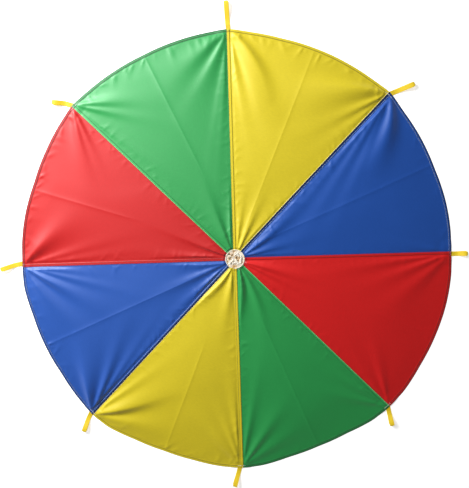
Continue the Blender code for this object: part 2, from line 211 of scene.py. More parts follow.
def fan(x, y, apex, inward, side, folds, height, least_width):
    """Ridges that all start from one point, at their own swing from the direction inward."""
    distance = np.hypot(x - apex[0], y - apex[1]) + least_width
    swing = np.degrees(side * turn_between(np.arctan2(y - apex[1], x - apex[0]), inward))
    rounding = np.degrees(least_width / distance)
    total = np.zeros_like(x)
    for near, far, share, inner, outer, peak in folds:
        off = swing - near - (far - near) * np.minimum(distance / FAN_LENGTH, 1.0)
        half = np.where(off < 0, inner, outer) + rounding
        run = distance / peak
        total += share * height * (run * np.exp(1 - run)) ** 2 * np.exp(-((off / half) ** 2))
    return total


def on_ray(angle, distance):
    return np.array((math.cos(angle), math.sin(angle))) * distance


# %% Fans of folds from the two ends of a gore's hem
CORNER_FOLD_HEIGHT = 0.0086
CORNER_LEAST_WIDTH = 0.0040
# For each gore, the folds from its first and from its second seam end. A fold is its swing from the seam
# in degrees near the corner and far from it, its share of the fold height, its half widths in degrees
# towards the seam and away from it, and the distance of its tallest place
CORNER_FOLDS = (
    (
        ((14, 10, 0.3, 6, 8, 0.12), (34, 30, 0.3, 8, 10, 0.15)),
        (
            (6, 6, 1.10, 4, 20, 0.11),
            (12, 12, 0.45, 2.5, 3, 0.24),
            (52, 26, 2.00, 10, 12, 0.14),
            (21, 21, 0.25, 3, 3, 0.24),
            (5, 5, 0.25, 1.5, 1.5, 0.30),
        ),
    ),
    (
        ((9, 9, 0.25, 3, 4, 0.15), (22, 23, 0.9, 4, 6, 0.11), (55, 50, 2.3, 16, 10, 0.15)),
        ((9, 9, 0.55, 2.5, 4, 0.15), (50, 26, 1.55, 15, 7, 0.15), (26, 20, 0.30, 4, 6, 0.18)),
    ),
    (
        (
            (6, 6, 0.35, 2, 2, 0.22),
            (10, 10, 0.25, 2, 2, 0.20),
            (26, 29, 0.90, 9, 6, 0.12),
            (54, 50, 1.00, 10, 13, 0.12),
        ),
        ((8, 8, 0.25, 2.5, 3, 0.22), (34, 33, 0.65, 4.5, 4, 0.11), (50, 46, 0.90, 6, 8, 0.10)),
    ),
    (
        ((24, 24, 0.60, 4, 4, 0.10), (38, 34, 0.90, 5, 9, 0.11)),
        ((14, 14, 0.35, 3, 4, 0.15), (48, 40, 1.50, 13, 12, 0.11), (6, 6, 0.25, 2, 3, 0.20)),
    ),
    (
        (
            (8, 8, 0.80, 3, 4, 0.10),
            (17, 16, 0.70, 3, 3, 0.15),
            (31, 31, 1.70, 7, 6, 0.12),
            (58, 54, 1.40, 9, 12, 0.14),
        ),
        (
            (3.5, 3.5, 0.35, 1.5, 2, 0.22),
            (9, 9, 0.70, 2.5, 3, 0.17),
            (17, 22, 1.50, 4, 5, 0.13),
            (48, 48, 2.30, 15, 8, 0.12),
        ),
    ),
    (
        ((12, 12, 0.60, 3, 4, 0.15), (40, 31, 2.10, 14, 6, 0.13), (60, 60, 1.00, 9, 12, 0.14)),
        ((5, 5, 0.60, 2, 3, 0.15), (17, 17, 0.65, 4, 4, 0.12), (35, 35, 0.85, 8, 8, 0.14)),
    ),
    (
        ((11, 11, 0.70, 3, 3.5, 0.17), (33, 33, 0.95, 6, 5, 0.13), (54, 54, 0.50, 7, 7, 0.14)),
        ((12, 12, 0.50, 4, 5, 0.15), (30, 30, 0.60, 6, 6, 0.12)),
    ),
    (
        ((31, 31, 0.60, 4, 6, 0.12), (12, 12, 0.30, 4, 5, 0.14)),
        ((7, 7, 0.45, 2.5, 3, 0.20), (20, 20, 0.70, 4, 6, 0.13), (40, 40, 0.60, 8, 9, 0.14)),
    ),
)


def corner_fans(gore, x, y):
    total = np.zeros_like(x)
    for end, side in ((0, -1), (1, 1)):
        angle = seam_angle(gore + end)
        apex = on_ray(angle, corner_reach[(gore + end) % GORE_COUNT])
        folds = CORNER_FOLDS[gore][end]
        total += fan(x, y, apex, angle + math.pi, side, folds, CORNER_FOLD_HEIGHT, CORNER_LEAST_WIDTH)
    return total


# %% Folds that run out from the vent
VENT_FOLD_HEIGHT = 0.0060
VENT_LEAST_WIDTH = 0.0020
# For each gore, folds as above, by their swing from its first seam
VENT_FOLDS = (
    (
        (4.5, 4.5, 0.7, 2.5, 4, 0.09),
        (15, 15, 1.1, 4, 6, 0.10),
        (27, 40, 1.4, 4.5, 5.5, 0.14),
        (38, 46, 0.4, 1.5, 2, 0.14),
    ),
    ((4, 4, 0.7, 2, 6, 0.10), (20.5, 20.5, 1.1, 4, 5, 0.11), (35.5, 35.5, 0.7, 3, 4, 0.10)),
    ((11, -6, 1.3, 4, 5, 0.12), (22, 21, 1.4, 4, 9, 0.12), (40, 40, 0.5, 6, 3, 0.08)),
    ((22, 21, 1.3, 9, 3, 0.11), (40, 40, 0.9, 4, 4, 0.13), (8, 8, 0.3, 3, 4, 0.10)),
    ((17, -4, 1.1, 4, 5, 0.10), (22.5, 22.5, 1.0, 4.5, 4, 0.14), (38.5, 39.5, 1.0, 4, 3, 0.13)),
    ((22, -8, 1.5, 4, 5, 0.11), (34, 33, 1.2, 6, 5, 0.12), (43, 43, 0.3, 2, 2, 0.12)),
    ((23, -8, 2.2, 6, 5, 0.11), (35, 20, 1.3, 5, 4, 0.13), (40, 40, 0.3, 3, 3, 0.12)),
    ((8, 8, 0.8, 3, 4, 0.10), (29, 29, 1.6, 5, 6, 0.12), (19, 19, 0.9, 3, 4, 0.12)),
)


def vent_fans(gore, x, y):
    start = (0.0, 0.0)
    return fan(x, y, start, seam_angle(gore), 1, VENT_FOLDS[gore], VENT_FOLD_HEIGHT, VENT_LEAST_WIDTH)


# %% The crease that a gore keeps from being packed away folded
CREASE_HEIGHT = 0.0015
CREASE_WIDTH = 0.0080
CREASE_ROUNDING = 0.0014
CREASE_MIDDLE = 0.50
CREASE_FADE = 0.15
# For each gore: share of the height, offset from the gore's middle, turn in degrees, and where it fades out
CREASES = (
    (0.8, 0.022, 0.0, 0.08),
    (0.7, 0.002, -0.5, 0.08),
    (0.9, -0.020, 2.5, 0.34),
    (0.8, -0.003, 4.5, 0.40),
    (1.0, 0.002, 0.0, 0.10),
    (0.8, 0.005, 0.0, 0.34),
    (0.9, 0.000, 0.0, 0.20),
    (0.3, 0.000, 0.0, 0.50),
)


def middle_crease(gore, x, y):
    share, offset, turn, inner_end = CREASES[gore]
    middle = middle_angle(gore)
    along = x * math.cos(middle) + y * math.sin(middle)
    across = y * math.cos(middle) - x * math.sin(middle)
    across = across - offset - (along - CREASE_MIDDLE) * math.tan(math.radians(turn))
    away = np.sqrt(across**2 + CREASE_ROUNDING**2) - CREASE_ROUNDING
    kept = smooth_step((along - inner_end) / CREASE_FADE)
    return share * kept * CREASE_HEIGHT * np.exp(-away / CREASE_WIDTH)


# %% [markdown]
# ## Puckers
#
# A sewn seam is a little shorter than the cloth beside it. The spare cloth stands up in short crescents along
# the seams and the hem. Where each one stands is invented: their places and sizes come from a seeded random
# generator, the same at every run, and only their strength is set for each seam and hem.

# %% Short puckers along seams and hem
PUCKER_SEED = 7
SEAM_PUCKER_SPACING = 0.030
HEM_PUCKER_SPACING = 0.040
PUCKER_HEIGHT = 0.0011
PUCKER_PEAK = 0.011
PUCKER_WIDTH = 0.0040
PUCKER_SPREAD = 0.12
PUCKER_SLANT_DEGREES = 60
FIRST_PUCKER_RADIUS = 0.10
HEM_WIDTH = 0.012
# The least and the greatest share of its usual size that chance gives to a pucker
HEIGHT_CHANCES = (0.2, 1.5)
PEAK_CHANCES = (0.6, 1.6)
WIDTH_CHANCES = (0.7, 1.6)
SPACING_CHANCES = (0.4, 1.6)
# For each gore, the strength of the puckers along its first seam, its second seam and its hem
PUCKER_SHARES = (
    (0.35, 1.50, 0.60),
    (0.80, 0.80, 1.70),
    (0.80, 0.50, 1.50),
    (0.50, 0.70, 1.20),
    (0.80, 1.40, 1.40),
    (1.00, 0.60, 1.10),
    (0.80, 0.70, 0.60),
    (0.50, 0.50, 0.40),
)


def pucker(x, y, start, heading, share, chance):
    height = share * PUCKER_HEIGHT * chance.uniform(*HEIGHT_CHANCES)
    heading += math.radians(chance.uniform(-PUCKER_SLANT_DEGREES, PUCKER_SLANT_DEGREES))
    peak = PUCKER_PEAK * chance.uniform(*PEAK_CHANCES)
    width = PUCKER_WIDTH * chance.uniform(*WIDTH_CHANCES)
    return ridge(x, y, start, heading, peak, width, PUCKER_SPREAD, height)


def puckers(gore, x, y):
    chance = np.random.default_rng(PUCKER_SEED + gore)
    total = np.zeros_like(x)
    for end, side in ((0, 1), (1, -1)):
        angle = seam_angle(gore + end)
        radius = FIRST_PUCKER_RADIUS
        while radius < corner_reach[(gore + end) % GORE_COUNT]:
            start = on_ray(angle, radius) + side * on_ray(angle + math.pi / 2, BAND_HALF_WIDTH)
            total += pucker(x, y, start, angle + side * math.pi / 2, PUCKER_SHARES[gore][end], chance)
            radius += SEAM_PUCKER_SPACING * chance.uniform(*SPACING_CHANCES)
    angle = seam_angle(gore)
    while angle < seam_angle(gore + 1):
        start = on_ray(angle, float(rim_radius(angle)) - HEM_WIDTH)
        total += pucker(x, y, start, angle + math.pi, PUCKER_SHARES[gore][2], chance)
        angle += HEM_PUCKER_SPACING / hem_reach[gore] * chance.uniform(*SPACING_CHANCES)
    return total


# %% [markdown]
# ## The lie of the whole canopy
#
# Below the folds there is one slow swell that runs through all eight gores and their seams, as air stays
# caught under the cloth. Its waves are invented too, by a seeded random generator. Where the cloth covers the
# net's rim or a sewn webbing end it is lifted by that piece, as in the CAD. Heights are worked out for any
# place at once, so that the cloth, its stitches and its neighbours all agree.

# %% What lies under the cloth
NET_LIFT = 0.0008
NET_LIFT_RADIUS = 0.046
NET_LIFT_RUN = 0.016
TAIL_LIFT = 0.0023
TAIL_DEPTH = 0.026
TAIL_LIFT_RUN = 0.026
TAIL_HALF_SPREAD = 0.024
TAIL_SPREAD_RUN = 0.036


def polar(x, y):
    angle = np.arctan2(y, x)
    radius = np.hypot(x, y)
    return angle, radius, rim_radius(angle) - radius


def lift(x, y):
    angle, radius, depth = polar(x, y)
    seam = np.round(angle / GORE_ANGLE).astype(int) % GORE_COUNT
    aside = np.abs(radius * np.sin(angle - np.array(seam_angles)[seam]))
    over_net = NET_LIFT * (1 - smooth_step((radius - NET_LIFT_RADIUS) / NET_LIFT_RUN))
    over_tail = TAIL_LIFT * (1 - smooth_step((depth - TAIL_DEPTH) / TAIL_LIFT_RUN))
    over_tail *= 1 - smooth_step((aside - TAIL_HALF_SPREAD) / TAIL_SPREAD_RUN)
    return over_net + over_tail


# %% Air under each gore
# The height of the air caught under each gore, in millimetres
PILLOW_HEIGHTS_MM = (10, 4, 2, 1, 5, 9, 13, 5)
PILLOW_INNER_RADIUS = 0.08
PILLOW_INNER_RUN = 0.50
PILLOW_OUTER_RUN = 0.22
PILLOW_POWER = 1.5


def pillow(gore, x, y):
    angle, radius, depth = polar(x, y)
    first, second = seam_angle(gore), seam_angle(gore + 1)
    share = np.clip(turn_between(angle, first) / (second - first), 0.0, 1.0)
    inner = smooth_step((radius - PILLOW_INNER_RADIUS) / PILLOW_INNER_RUN)
    outer = smooth_step(depth / PILLOW_OUTER_RUN)
    return PILLOW_HEIGHTS_MM[gore] / 1000 * inner * outer * np.sin(math.pi * share) ** PILLOW_POWER


# %% Slow swell under all the gores
SWELL_SEED = 21
SWELL_WAVES = 14
SWELL_HEIGHT = 0.0022
SWELL_LENGTHS = (0.24, 0.60)
SWELL_CLEAR_OF_VENT = 0.10
SWELL_CLEAR_OF_HEM = 0.09


def swell(x, y):
    chance = np.random.default_rng(SWELL_SEED)
    total = np.zeros_like(x)
    for _ in range(SWELL_WAVES):
        length = chance.uniform(*SWELL_LENGTHS)
        heading = chance.uniform(0, math.pi)
        phase = chance.uniform(0, math.tau)
        total += length * np.sin((x * math.cos(heading) + y * math.sin(heading)) * math.tau / length + phase)
    total = 0.5 + 0.5 * np.tanh(total / (max(SWELL_LENGTHS) * math.sqrt(SWELL_WAVES) / 2))
    _, radius, depth = polar(x, y)
    inside = smooth_step((radius - NET_LIFT_RADIUS) / SWELL_CLEAR_OF_VENT)
    return SWELL_HEIGHT * total * inside * smooth_step(depth / SWELL_CLEAR_OF_HEM)


# %% [markdown]
# ## A gore's two faces
#
# Each gore is a thin closed sheet. Along its second seam it carries the felled band, three plies thick, that
# covers the tongue of its neighbour. Round the outside it carries its turned hem. Both could be separate
# strips, but they are the same cloth, so they are steps in one sheet. The rows of thread draw the cloth in,
# which leaves a shallow groove along each of them.

# %% Heights of a gore's underside and upper side
CLOTH_THICKNESS = 0.0003
BAND_UNDERSIDE = 0.00045
BAND_TOP = 0.00125
BAND_STEP = 0.0012
BAND_ROLL = 0.0007
HEM_EXTRA = 0.0006
HEM_STEP = 0.0010
EDGE_ROLL = 0.0012
EDGE_DROP_SHARE = 0.6
SEAM_EASE = 0.014
HEM_EASE = 0.016
VENT_EASE = 0.012
STITCH_FROM_SEAM = 0.0043
HEM_STITCH_DEPTH = 0.0098
GROOVE_DEPTH = 0.00022
GROOVE_HALF_WIDTH = 0.0011


def groove(distance):
    return GROOVE_DEPTH * np.exp(-((distance / GROOVE_HALF_WIDTH) ** 2))


def beside_seams(gore, x, y):
    """Distances inward from a gore's two seam lines."""
    first, second = seam_angle(gore), seam_angle(gore + 1)
    from_first = y * math.cos(first) - x * math.sin(first)
    to_second = x * math.sin(second) - y * math.cos(second)
    return from_first, to_second


def gore_faces(gore, x, y):
    """Underside and upper side of a gore at the given places."""
    _, radius, depth = polar(x, y)
    from_first, to_second = beside_seams(gore, x, y)
    nearest = np.minimum(from_first, to_second) - BAND_HALF_WIDTH
    beside_seam = smooth_step(nearest / SEAM_EASE)
    inside_hem = smooth_step((depth - HEM_WIDTH / 2) / HEM_EASE)
    outside_vent = smooth_step((radius - NET_LIFT_RADIUS + VENT_EASE / 2) / VENT_EASE)
    folds = corner_fans(gore, x, y) + vent_fans(gore, x, y) + puckers(gore, x, y) + middle_crease(gore, x, y)
    under = lift(x, y) + swell(x, y) + pillow(gore, x, y) + folds * beside_seam * inside_hem * outside_vent
    upper = under + CLOTH_THICKNESS

    on_band = smooth_step((BAND_HALF_WIDTH + BAND_STEP / 2 - to_second) / BAND_STEP)
    rolled = smooth_step((-BAND_HALF_WIDTH - to_second + BAND_ROLL) / BAND_ROLL)
    upper = upper + on_band * (BAND_TOP - CLOTH_THICKNESS) - rolled * (BAND_TOP - BAND_UNDERSIDE) / 2
    under = under + on_band * BAND_UNDERSIDE
    upper = upper - groove(np.abs(to_second) - STITCH_FROM_SEAM)

    covered = from_first < BAND_HALF_WIDTH
    on_hem = smooth_step((HEM_WIDTH + HEM_STEP / 2 - depth) / HEM_STEP)
    edge = 1 - np.clip(depth / EDGE_ROLL, 0.0, 1.0)
    hem = HEM_EXTRA * on_hem * (1 - EDGE_DROP_SHARE * edge**2) - groove(depth - HEM_STITCH_DEPTH)
    return under, upper + np.where(covered, 0.0, hem)


# %% Grid lines of a gore
ROWS_BETWEEN = 236
ROW_CROWDING = 0.30
COLUMNS_BETWEEN = 121
COLUMN_CROWDING = 0.60
HEM_LINE_DEPTHS = (
    (0.0, 0.0004, 0.0012, 0.0026, 0.0040, 0.0072)
    + (0.0088, 0.0098, 0.0108, 0.0116, 0.0124, 0.0150)
)
FIRST_SEAM_LINES = (-0.0048, -0.0010, 0.0030, 0.0062, 0.0075, 0.0095, 0.0125)
SECOND_SEAM_LINES = (
    (0.0125, 0.0095, 0.0078, 0.0068, 0.0062, 0.0056, 0.0050, 0.0043, 0.0034, 0.0015)
    + (-0.0015, -0.0034, -0.0043, -0.0050, -0.0055, -0.0058, -0.0060)
)
NARROW_SHARE = 0.62
LEAST_ROOM = 0.0008


def crowded(count, crowding, turns=1):
    """Shares from 0 to 1 that lie closer together at both ends, and with two turns also in the middle."""
    even = np.linspace(0.0, 1.0, count)
    return even - crowding * np.sin(math.tau * turns * even) / (math.tau * turns)


def line_angle(distances, radius):
    """Angles of lines that run beside a seam. Where the gore narrows they close up outside the band."""
    half_chord = radius * math.sin(GORE_ANGLE / 2)
    room = np.maximum(NARROW_SHARE * half_chord - BAND_HALF_WIDTH, LEAST_ROOM)
    beyond = distances - BAND_HALF_WIDTH
    closing = np.minimum(1.0, room / (FIRST_SEAM_LINES[-1] - BAND_HALF_WIDTH))
    kept = np.where(beyond > 0, BAND_HALF_WIDTH + beyond * closing, distances)
    return np.arcsin(kept / radius)


def gore_grid(gore):
    """Flat places of a gore's grid: rows from the vent to the hem, columns anticlockwise."""
    row_shares = crowded(ROWS_BETWEEN, ROW_CROWDING)[:, None]
    nominal = vent_reach + row_shares * (hem_reach[gore] - vent_reach)
    starts = seam_angle(gore) + line_angle(np.array(FIRST_SEAM_LINES)[None, :], nominal)
    ends = seam_angle(gore + 1) - line_angle(np.array(SECOND_SEAM_LINES)[None, :], nominal)
    between = crowded(COLUMNS_BETWEEN, COLUMN_CROWDING, 2)[None, 1:-1]
    middles = starts[:, -1:] + between * (ends[:, :1] - starts[:, -1:])
    angles = np.concatenate([starts, middles, ends], axis=1)
    inner_rim = rim_radius(angles) - HEM_LINE_DEPTHS[-1]
    radii = vent_reach + row_shares * (inner_rim - vent_reach)
    hem_angles = np.repeat(angles[-1:], len(HEM_LINE_DEPTHS) - 1, axis=0)
    hem_radii = rim_radius(hem_angles) - np.array(HEM_LINE_DEPTHS[-2::-1])[:, None]
    angles = np.concatenate([angles, hem_angles])
    radii = np.concatenate([radii, hem_radii])
    return radii * np.cos(angles), radii * np.sin(angles)


# %% Turn two grids of points into one closed sheet
def smooth_mesh(name, points, faces):
    mesh = bpy.data.meshes.new(name)
    mesh.from_pydata(points, [], faces)
    mesh.shade_smooth()
    return mesh


def closed_sheet(name, low, high):
    """A closed mesh between two grids of points. Rows run outward and columns anticlockwise."""
    rows, columns = low.shape[:2]
    index = np.arange(rows * columns).reshape(rows, columns)
    here, outward = index[:-1, :-1], index[1:, :-1]
    across, aside = index[1:, 1:], index[:-1, 1:]
    top = np.stack([here, outward, across, aside], axis=-1).reshape(-1, 4) + rows * columns
    bottom = np.stack([here, aside, across, outward], axis=-1).reshape(-1, 4)
    border = np.concatenate([index[0, ::-1], index[1:, 0], index[-1, 1:], index[-2:0:-1, -1]])
    after = np.roll(border, -1)
    side = np.stack([border, after, after + rows * columns, border + rows * columns], axis=-1)
    points = np.concatenate([low.reshape(-1, 3), high.reshape(-1, 3)])
    return smooth_mesh(name, points, np.concatenate([top, bottom, side]).tolist())


def store_values(mesh, name, values):
    """Keep one number for each point of a mesh, for its material to read."""
    mesh.attributes.new(name, "FLOAT", "POINT").data.foreach_set("value", values.ravel())


EDGE_DEGREES = 50


def add_piece(name, mesh, body):
    mesh.set_sharp_from_angle(angle=math.radians(EDGE_DEGREES))
    piece = new_object(name, mesh)
    if body:
        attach(piece, body)
    return piece


# %% Build the eight gores
VENT_EDGE = 0.0415
VENT_EDGE_SHADE = 0.0036


def make_gore(gore):
    name = gore_names[gore]
    x, y = gore_grid(gore)
    under, upper = gore_faces(gore, x, y)
    mesh = closed_sheet(name, np.stack([x, y, under], axis=-1), np.stack([x, y, upper], axis=-1))
    _, radius, depth = polar(x, y)
    from_first, to_second = beside_seams(gore, x, y)
    # Distances that the tones read. Near the vent the distance from the edge is cut short by VENT_EDGE_SHADE,
    # so the edge strip paints shade round the binding
    distances = (
        ("from_edge", np.minimum(depth, radius - VENT_EDGE + VENT_EDGE_SHADE)),
        ("from_band_edge", to_second + BAND_HALF_WIDTH),
        ("from_neighbour", from_first - BAND_HALF_WIDTH),
    )
    for label, distance in distances:
        store_values(mesh, label, np.stack([distance, distance]))
    turn = middle_angle(gore)
    mesh.transform(Matrix.Rotation(-turn, 4, "Z"))
    piece = add_piece("cloth_" + name[5:], mesh, None)
    piece.rotation_euler.z = turn
    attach(piece, "canopy")
    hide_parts(name)
    return piece


gores = [make_gore(gore) for gore in range(GORE_COUNT)]
print("gores have", sum(len(piece.data.polygons) for piece in gores), "faces in all")

# %% [markdown]
# ## Thread
#
# Two rows of stitches hold each felled seam and one row holds the hem. From standing height a row reads as a
# fine line. Single stitches are too small to be seen from there, so their length and thickness are assumed.
# A row could be painted on, but real stitches catch the light, so each one is a small bead of thread that
# dips into the cloth at both ends. The row beside the colour change has a thread of its own colour, and a
# bolder row tacks down five of the eight webbing ends. Beside the blue bands the thread is thick and pale,
# and lies on the yellow cloth just outside the fold.

# %% Rows of stitches over the cloth
STITCH_PITCH = 0.0034
STITCH_SHARE = 0.92
THREAD_RADIUS = 0.00058
TACK_RADIUS = 0.00085
STITCH_SIDES = 5
# Along the stitch, share of the thread's radius, and height above the cloth in radii
STITCH_STATIONS = (
    ((-0.5, 0.0, -0.6), (-0.4, 0.85, 0.0), (0.0, 1.0, 0.55))
    + ((0.4, 0.85, 0.0), (0.5, 0.0, -0.6))
)


def stitch_template():
    """Points of one stitch as along, across, up, with its faces."""
    points, rings = [], []
    for along, share, up in STITCH_STATIONS:
        sides = STITCH_SIDES if share else 1
        rings.append(range(len(points), len(points) + sides))
        for side in range(sides):
            angle = math.tau * side / sides
            points.append((along, share * math.cos(angle), up + share * math.sin(angle)))
    faces = []
    for side in range(STITCH_SIDES):
        after = (side + 1) % STITCH_SIDES
        faces.append((rings[0][0], rings[1][side], rings[1][after]))
        faces.append((rings[-1][0], rings[-2][after], rings[-2][side]))
        for inner, outer in zip(rings[1:-2], rings[2:-1]):
            faces.append((inner[side], outer[side], outer[after], inner[after]))
    return np.array(points), faces


def stitches_along(line, pitch):
    """Middle and direction of each stitch on a line of points."""
    steps = np.diff(line, axis=0)
    lengths = np.concatenate([[0.0], np.cumsum(np.linalg.norm(steps, axis=1))])
    count = max(1, int(lengths[-1] / pitch))
    middles = (np.arange(count) + 0.5) * lengths[-1] / count
    before = np.stack([np.interp(middles - pitch / 2, lengths, line[:, k]) for k in range(3)], axis=-1)
    after = np.stack([np.interp(middles + pitch / 2, lengths, line[:, k]) for k in range(3)], axis=-1)
    ahead = after - before
    return (before + after) / 2, ahead / np.linalg.norm(ahead, axis=1)[:, None]


def thread_piece(name, lines, radius=THREAD_RADIUS, pitch=STITCH_PITCH):
    shape, faces = stitch_template()
    sewn = [stitches_along(line, pitch) for line in lines]
    middles, ahead = (np.concatenate(parts) for parts in zip(*sewn))
    aside = np.cross((0.0, 0.0, 1.0), ahead)
    up = np.cross(ahead, aside)
    length = pitch * STITCH_SHARE
    points = middles[:, None] + ahead[:, None] * shape[None, :, :1] * length
    points = points + (aside[:, None] * shape[None, :, 1:2] + up[:, None] * shape[None, :, 2:]) * radius
    offsets = np.arange(len(middles)) * len(shape)
    sewn_faces = [[corner + offset for corner in face] for offset in offsets for face in faces]
    return add_piece(name, smooth_mesh(name, points.reshape(-1, 3), sewn_faces), "canopy")


# %% Sew the seams, the hem and the webbing ends
LINE_STEP = 0.002
TACK_HALF_LENGTH = 0.0190
TACK_PITCH = 0.0050
WHITE_TACK_SEAMS = (1, 3, 5, 6, 7)
PLAIN_TACK_DEPTH = 0.0050
PLAIN_TACK_HALF_LENGTH = 0.0095


def on_gore(gore, x, y):
    upper = gore_faces(gore, x, y)[1]
    return np.stack([x, y, upper], axis=-1)


def seam_line(gore, offset):
    """A line beside a gore's second seam, on its felled band or on the cloth of its neighbour."""
    angle = seam_angle(gore + 1)
    outer_end = corner_reach[(gore + 1) % GORE_COUNT] - HEM_LINE_DEPTHS[2]
    radius = np.arange(vent_reach + BAND_HALF_WIDTH, outer_end, LINE_STEP)
    x = radius * math.cos(angle) - offset * math.sin(angle)
    y = radius * math.sin(angle) + offset * math.cos(angle)
    return on_gore(gore if offset < BAND_HALF_WIDTH else (gore + 1) % GORE_COUNT, x, y)


def hem_line(gore):
    cleared = [TACK_HALF_LENGTH if (gore + end) % GORE_COUNT in WHITE_TACK_SEAMS else 0.0 for end in (0, 1)]
    first = seam_angle(gore) + max(BAND_HALF_WIDTH, cleared[0]) / corner_reach[gore]
    last = seam_angle(gore + 1) - cleared[1] / corner_reach[(gore + 1) % GORE_COUNT]
    angle = np.arange(first, last, LINE_STEP / hem_reach[gore])
    radius = rim_radius(angle) - HEM_STITCH_DEPTH
    return on_gore(gore, radius * np.cos(angle), radius * np.sin(angle))


def tack_line(seam, depth, half_length):
    """A short row across the webbing end under a corner, on both sides of the seam."""
    offset = np.arange(-half_length, half_length, LINE_STEP)
    angle = seam_angle(seam) + offset / corner_reach[seam]
    radius = rim_radius(angle) - depth
    x, y = radius * np.cos(angle), radius * np.sin(angle)
    before, after = on_gore((seam - 1) % GORE_COUNT, x, y), on_gore(seam, x, y)
    return np.where((offset < BAND_HALF_WIDTH)[:, None], before, after)


rows_sewn = []
for gore, name in enumerate(gore_names):
    slot = "cloth_" + name.split("_")[1]
    inner_rows = [seam_line(gore, -STITCH_FROM_SEAM), hem_line(gore)]
    if gore not in WHITE_TACK_SEAMS:
        inner_rows.append(tack_line(gore, PLAIN_TACK_DEPTH, PLAIN_TACK_HALF_LENGTH))
    rows = [thread_piece("stitches_" + name[5:], inner_rows)]
    if slot == "cloth_blue":
        edge_row, edge_radius = seam_line(gore, BAND_HALF_WIDTH + TACK_RADIUS), TACK_RADIUS
    else:
        edge_row, edge_radius = seam_line(gore, STITCH_FROM_SEAM), THREAD_RADIUS
    rows.append(thread_piece("edge_stitches_" + name[5:], [edge_row], edge_radius))
    if gore in WHITE_TACK_SEAMS:
        row = tack_line(gore, HEM_STITCH_DEPTH, TACK_HALF_LENGTH)
        rows.append(thread_piece("tack_" + SIDES[gore], [row], TACK_RADIUS, TACK_PITCH))
    rows_sewn.append(rows)
print("rows of thread:", sum(len(rows) for rows in rows_sewn), "pieces")

# %% [markdown]
# ## Webbing loops
#
# Each handle is one length of flat webbing. Both ends lie on each other under the hem, and outside it the two
# plies part into an eye for the fingers. The CAD splits it at the hem, where it flexes. A part that bends
# should not show that split, so the looks use one unbroken strap from under the hem to the loop.

# %% The path of a loop
WEBBING_WIDTH = 0.020
WEBBING_THICKNESS = 0.00096
PLY = 0.001
LOOP_REACH = 0.090
LOOP_REACH_SHARES = (0.61, 0.97, 1.07, 0.79, 0.94, 0.86, 0.85, 0.77)
LOOP_HEIGHT = 0.018
LOOP_JOINED_LENGTH = 0.010
TAIL_LENGTH = 0.0255
LAY_TURN_DEGREES = (0.0, 0.0, -1.0, 13.0, 7.5, 8.0, -2.0, -1.0)
LAY_TURN_START = 0.006
LAY_TURN_LENGTH = 0.026
STRAP_STEP = 0.0015
TIP_CORNER_RADIUS = 0.0085


def loop_path(reach):
    """The middle line of the strap in the upright plane: out along the floor, round the tip and back."""
    tip_radius = LOOP_HEIGHT / 2
    line_radius = tip_radius - PLY / 2
    tip_middle = reach - tip_radius
    out = np.linspace(-TAIL_LENGTH, tip_middle, int((tip_middle + TAIL_LENGTH) / STRAP_STEP))
    swing = np.linspace(-math.pi / 2, math.pi / 2, int(math.pi * line_radius / STRAP_STEP))[1:-1]
    share = smooth_step((out - LOOP_JOINED_LENGTH) / (tip_middle - LOOP_JOINED_LENGTH))
    upper = PLY / 2 + (LOOP_HEIGHT - 2 * PLY) * share
    along = np.concatenate([out, tip_middle + line_radius * np.cos(swing), out[::-1]])
    turned = tip_radius - PLY + line_radius * np.sin(swing)
    height = np.concatenate([np.full_like(out, -PLY / 2), turned, upper[::-1]])
    return along, height


def laid(along, across, turn):
    """Where a point of the strap lies as it swings aside on the floor."""
    past = np.clip(along - LAY_TURN_START, 0.0, LAY_TURN_LENGTH)
    beyond = np.maximum(along - LAY_TURN_START - LAY_TURN_LENGTH, 0.0)
    swing = turn * past / LAY_TURN_LENGTH
    half_chord = past * np.sinc(swing / math.tau)
    start = np.minimum(along, LAY_TURN_START)
    x = start + half_chord * np.cos(swing / 2) + beyond * np.cos(swing) - across * np.sin(swing)
    y = half_chord * np.sin(swing / 2) + beyond * np.sin(swing) + across * np.cos(swing)
    return x, y


# %% Sweep the strap's section along the path
# Half of the strap's section, as shares of half the width and of half the thickness
STRAP_SECTION = ((0.0, 1.0), (0.45, 1.0), (0.80, 1.0), (0.93, 0.92), (0.985, 0.55), (1.0, 0.0))


def half_widths(along, tip):
    """Half of the strap's width, narrowed where the tip is rounded."""
    missing = np.clip(TIP_CORNER_RADIUS - (tip - along), 0.0, TIP_CORNER_RADIUS)
    rounded = np.sqrt(TIP_CORNER_RADIUS**2 - missing**2)
    return WEBBING_WIDTH / 2 - TIP_CORNER_RADIUS + rounded


def tube_faces(stations, sides, first=0, turned=False):
    """Faces of a tube: its first cap, its walls and its last cap, turned where the rings run back."""
    index = first + np.arange(stations * sides).reshape(stations, sides)
    after = np.roll(index, -1, axis=1)
    walls = np.stack([index[:-1], index[1:], after[1:], after[:-1]], axis=-1).reshape(-1, 4)
    faces = [index[0].tolist()] + walls.tolist() + [index[-1, ::-1].tolist()]
    return [face[:1] + face[:0:-1] for face in faces] if turned else faces


